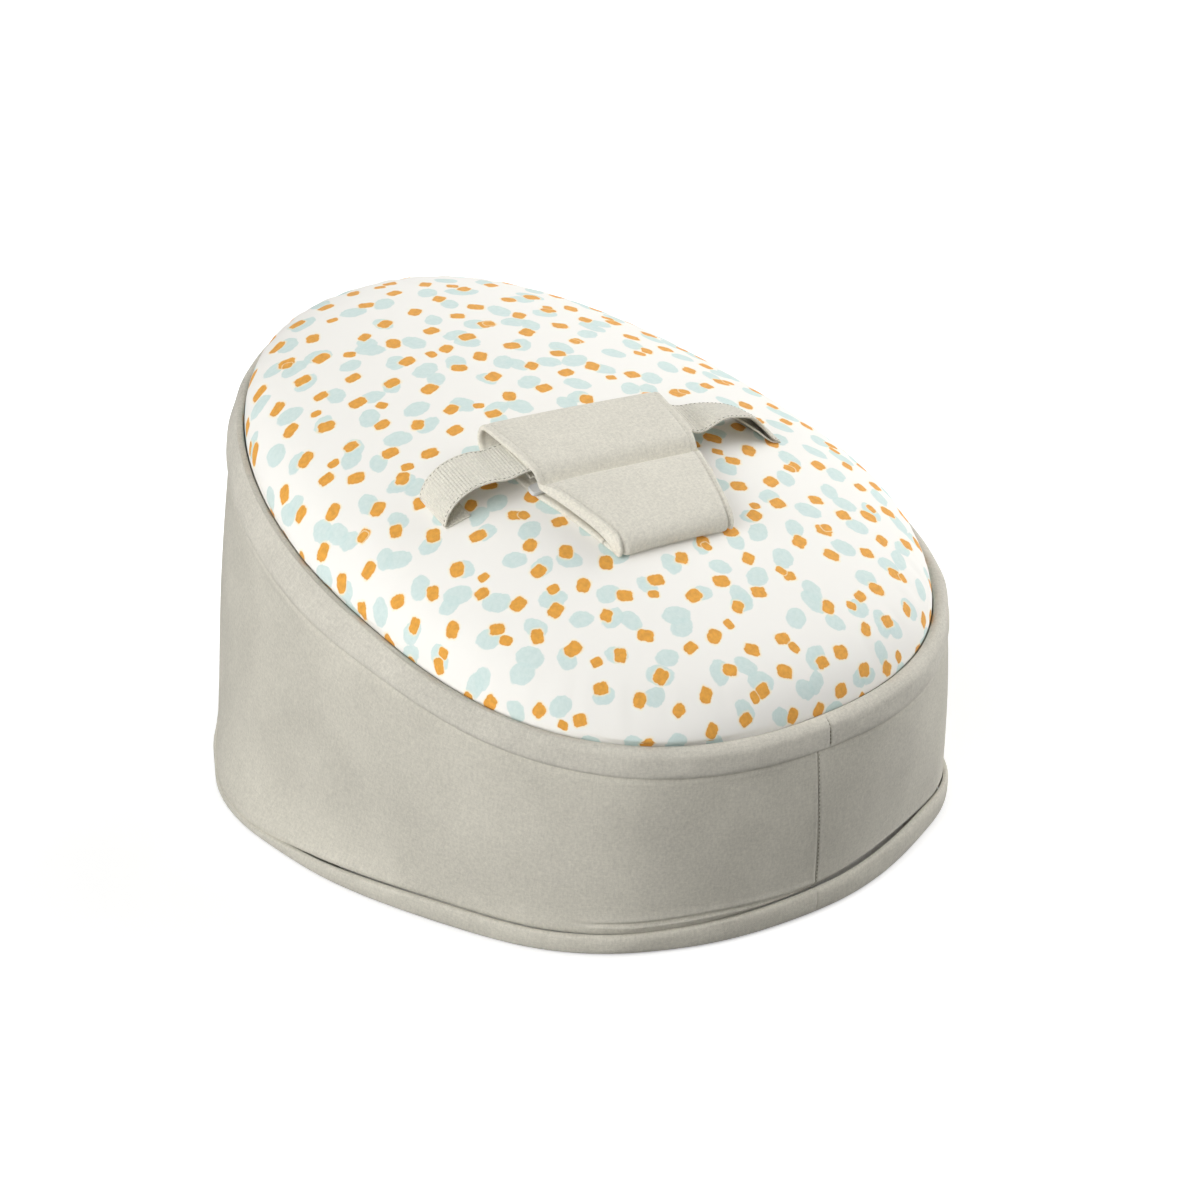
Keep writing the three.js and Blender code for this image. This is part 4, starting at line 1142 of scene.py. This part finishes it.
WEB_THICK, LOOP_R = 1.6, 4.1
RIB_PITCH, RIB_HIGH = 2.5, 0.17
BAR_LEFT, BAR_RIGHT = -47.6, 29.6
STRAP_REACH, STRAP_LOW = 149, 0.3
# Heights of each arch over the cover, at shares of its reach
LEFT_ARCH = (
    (0.25, 20.3), (0.45, 24.2), (0.64, 26.0), (0.8, 24.4), (0.91, 19.8), (0.97, 14.0), (0.995, 8.3),
)
RIGHT_ARCH = (
    (0.16, 14.9), (0.34, 15.0), (0.52, 14.2), (0.68, 12.2), (0.82, 8.6), (0.92, 4.8), (0.98, 2.6),
)
WEB_EDGE = np.array([0, 0.25, 0.6, 1.0, 1.5, 2.2, 3.2])
ROW_OUT = 18.2
STITCHED = slice(210, 505)


def front_lift(side, u, v):
    """How much higher the right strap's front edge arches than its back one."""
    if side < 0:
        return 0
    share = smooth((u - 66) / 34) * (1 - smooth((u - 118) / 26))
    return 13 * share * (BELT + BELT_HALF - v) / (2 * BELT_HALF)


def waist_strap(side, bar, name, node, arch, turn_radius):
    """Webbing: a tail and loop round the buckle's bar, the arch, and the end turned under. The
    third number of a path's point says whether it follows the cover."""
    leave, reach, r = bar + side * 30, side * STRAP_REACH, turn_radius
    low, high = BUCKLE_MID - LOOP_R, BUCKLE_MID + LOOP_R
    a = np.linspace(-PI / 2, PI / 2, 14)
    path = [(leave, low, 0), (leave - side * 12, low, 0)]
    path += [(bar - side * LOOP_R * np.cos(x), BUCKLE_MID + LOOP_R * np.sin(x), 0) for x in a]
    path += [(leave - side * 12, high, 0), (leave, high, 0)]
    path += [(leave + (reach - leave) * x, z, 1) for x, z in arch]
    a = np.linspace(0, PI / 2, 6)
    path += [(reach - side * r * (1 - np.cos(x)), STRAP_LOW + r - r * np.sin(x), 1) for x in a]
    path += [(reach - side * x, STRAP_LOW, 1) for x in (r + 5, r + 9, 22)]
    path = resample(path, 520)
    on_cover, line = path[:, 2], path[:, :2].copy()
    line[:, 1] -= on_cover * drop(path[:, 0], BELT)
    run = run_along(line)
    rib = RIB_HIGH * np.sin(2 * PI * run / RIB_PITCH)[:, None]
    outer, inner = offset(line, side * rib), offset(line, -side * (WEB_THICK + rib))
    section = join([outer, inner[::-1]])
    follow = join([on_cover, on_cover[::-1]])
    across = join([WEB_EDGE - 20, np.linspace(-15, 15, 9), 20 - WEB_EDGE[::-1]])[:, None]
    size = 1 - 0.4 * bell(BELT_HALF - np.abs(across), 0.45, 1)
    mid_u, mid_w = (section + section[::-1]).T / 2
    u = mid_u + (section[:, 0] - mid_u) * size
    w = mid_w + (section[:, 1] - mid_w) * size
    v = BELT + across
    ease = follow * (drop(u, v) - drop(u, BELT)) - front_lift(side, u, v)
    parts = loft(to_world(u, v, w - ease), flip=side > 0)
    obj = make(name, parts, webbing, None, node)
    made = [obj]
    for k, place in enumerate((BELT + ROW_OUT, BELT - ROW_OUT)):
        u, w = line.T
        ease = on_cover * (drop(u, place) - drop(u, BELT)) - front_lift(side, u, place)
        lines = [to_world(u, place + d, w) - ease[:, None] * AXIS_W for d in (0, 1)]
        row = stitches(
            f"{name}_row_{k}", lines[0][STITCHED], off_seat(lines, STITCHED), None,
            2.4, 1.6, 0.4, 0.02, dark_thread,
        )
        made.append(row)
    return made


for obj in waist_strap(-1, BAR_LEFT, "strap_left", "waist_strap_left", LEFT_ARCH, 4):
    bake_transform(obj)
for obj in waist_strap(1, BAR_RIGHT, "strap_right", "waist_strap_right", RIGHT_ARCH, 1.3):
    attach(obj, "cover")

# Zip tapes in the base

FILL_TAPE_IN, FILL_TAPE_OUT = 2.1, 14.1
FILL_TAPE_LOW = 2.8


def fill_tape(side, word):
    x = side * np.linspace(FILL_TAPE_IN, FILL_TAPE_OUT, 3)
    flat = pairs(np.linspace(-SLIT_END, SLIT_END, 60), x)[..., ::-1]
    parts = loft(plate(flat, FILL_TAPE_LOW, FILL_TAPE_LOW + TAPE_THICK), flip=side < 0)
    obj = make("fill_tape_" + word, parts, zip_tape, "root", "fill_zip_tape_" + word)


for side, word in HALVES:
    fill_tape(side, word)

# Hard pieces keep their CAD shapes

ZIP_METAL_NODES = ("fill_zip_slider", "rim_zip_slider", "fill_zip_stop_foot", "fill_zip_stop_head")
COIL_NODES = (
    "fill_zip_coil_left", "fill_zip_coil_right", "rim_zip_coil_outer", "rim_zip_coil_inner",
)
for material, nodes in (
    (plastic, ("buckle_socket", "buckle_prongs")),
    (zip_metal, ZIP_METAL_NODES),
    (coil_plastic, COIL_NODES),
):
    for node in nodes:
        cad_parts[node].data.materials.clear()
        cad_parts[node].data.materials.append(material)

# Stage

FLOOR_HALF, FLOOR_DOWN = 12.0, 0.0008
FLOOR_TONE, FLOOR_SEEN, FLOOR_GLOW = (0.25, 0.25, 0.25, 1), (0.86, 0.86, 0.86, 1), 0.42
WHITE = (1, 1, 1, 1)


def stage():
    """A floor that keeps the object's shadow and shows the camera white round it."""
    look = Look("floor", 0.9, 0.0)
    seen = look.node("ShaderNodeLightPath").outputs["Is Camera Ray"]
    glow = look.node("ShaderNodeEmission", Color=WHITE, Strength=look.times(seen, FLOOR_GLOW))
    look.fill(look.bsdf, {"Base Color": look.mix(seen, FLOOR_TONE, FLOOR_SEEN)})
    both = look.node("ShaderNodeAddShader")
    look.fill(both, {0: look.bsdf.outputs[0], 1: glow.outputs[0]})
    look.fill(look.tree.nodes["Material Output"], {"Surface": both.outputs[0]})
    mesh = bpy.data.meshes.new("floor")
    r = FLOOR_HALF
    mesh.from_pydata([(-r, -r, 0), (r, -r, 0), (r, r, 0), (-r, r, 0)], [], [(0, 1, 2, 3)])
    mesh.materials.append(look.mat)
    floor = put("floor", mesh)
    floor.location.z = -FLOOR_DOWN


# Soft panels round the object: turn from the foot towards the left, height over the horizon and
# strength
PANELS = (
    (-90, 14, 5.1), (-60, 14, 2.1), (60, 14, 0.4), (86, 14, 3.62), (-90, 40, 0.52), (90, 40, 2.18),
    (-150, 65, 0.3), (90, 65, 0.26),
)
PANEL_HALF = 38
LEVEL = 0.96


def towards(turn, height):
    """Direction of a place round the object."""
    a, e = math.radians(turn), math.radians(height)
    return Vector((-math.sin(a) * math.cos(e), -math.cos(a) * math.cos(e), math.sin(e)))


def studio():
    """A world that shows the camera plain white and lights the object from the panels."""
    world = bpy.data.worlds.new("studio")
    bpy.context.scene.world = world
    world.use_nodes = True
    sky = Nodes(world.node_tree)
    way = sky.node("ShaderNodeTexCoord").outputs["Generated"]
    rim = math.cos(math.radians(PANEL_HALF))
    total = None
    for turn, height, strength in PANELS:
        dot = sky.node("ShaderNodeVectorMath")
        dot.operation = "DOT_PRODUCT"
        sky.fill(dot, {0: way, 1: towards(turn, height)})
        lobe = sky.remap(dot.outputs["Value"], rim, 1.0, 0.0, strength * LEVEL, "SMOOTHSTEP")
        total = lobe if total is None else sky.add(total, lobe)
    back = sky.fill(sky.tree.nodes["Background"], {"Color": WHITE, "Strength": total})
    white = sky.node("ShaderNodeBackground", Color=WHITE, Strength=1.0)
    seen = sky.node("ShaderNodeLightPath").outputs["Is Camera Ray"]
    mixer = sky.node("ShaderNodeMixShader")
    sky.fill(mixer, {0: seen, 1: back.outputs[0], 2: white.outputs[0]})
    sky.fill(sky.tree.nodes["World Output"], {0: mixer.outputs[0]})


# The fitted camera: angles in degrees, lengths in millimetres, the lens in the photograph's pixels
TURN, ELEVATION, DISTANCE = 40, 26.63, 4180.7
AIM = (39.2, 12.8, 130)
LENS_PX, PHOTO_PX, SENSOR = 5312.85, 1200, 36


def camera():
    back = towards(TURN, ELEVATION)
    data = bpy.data.cameras.new("camera")
    data.lens = LENS_PX / PHOTO_PX * SENSOR
    data.sensor_width = SENSOR
    data.clip_start, data.clip_end = 0.1, 60
    obj = put("camera", data)
    obj.location = Vector(AIM) * MM + back * DISTANCE * MM
    obj.rotation_mode = "QUATERNION"
    obj.rotation_quaternion = (-back).to_track_quat("-Z", "Y")
    bpy.context.scene.camera = obj


stage()
studio()
camera()
bpy.context.scene.view_settings.view_transform = "Standard"
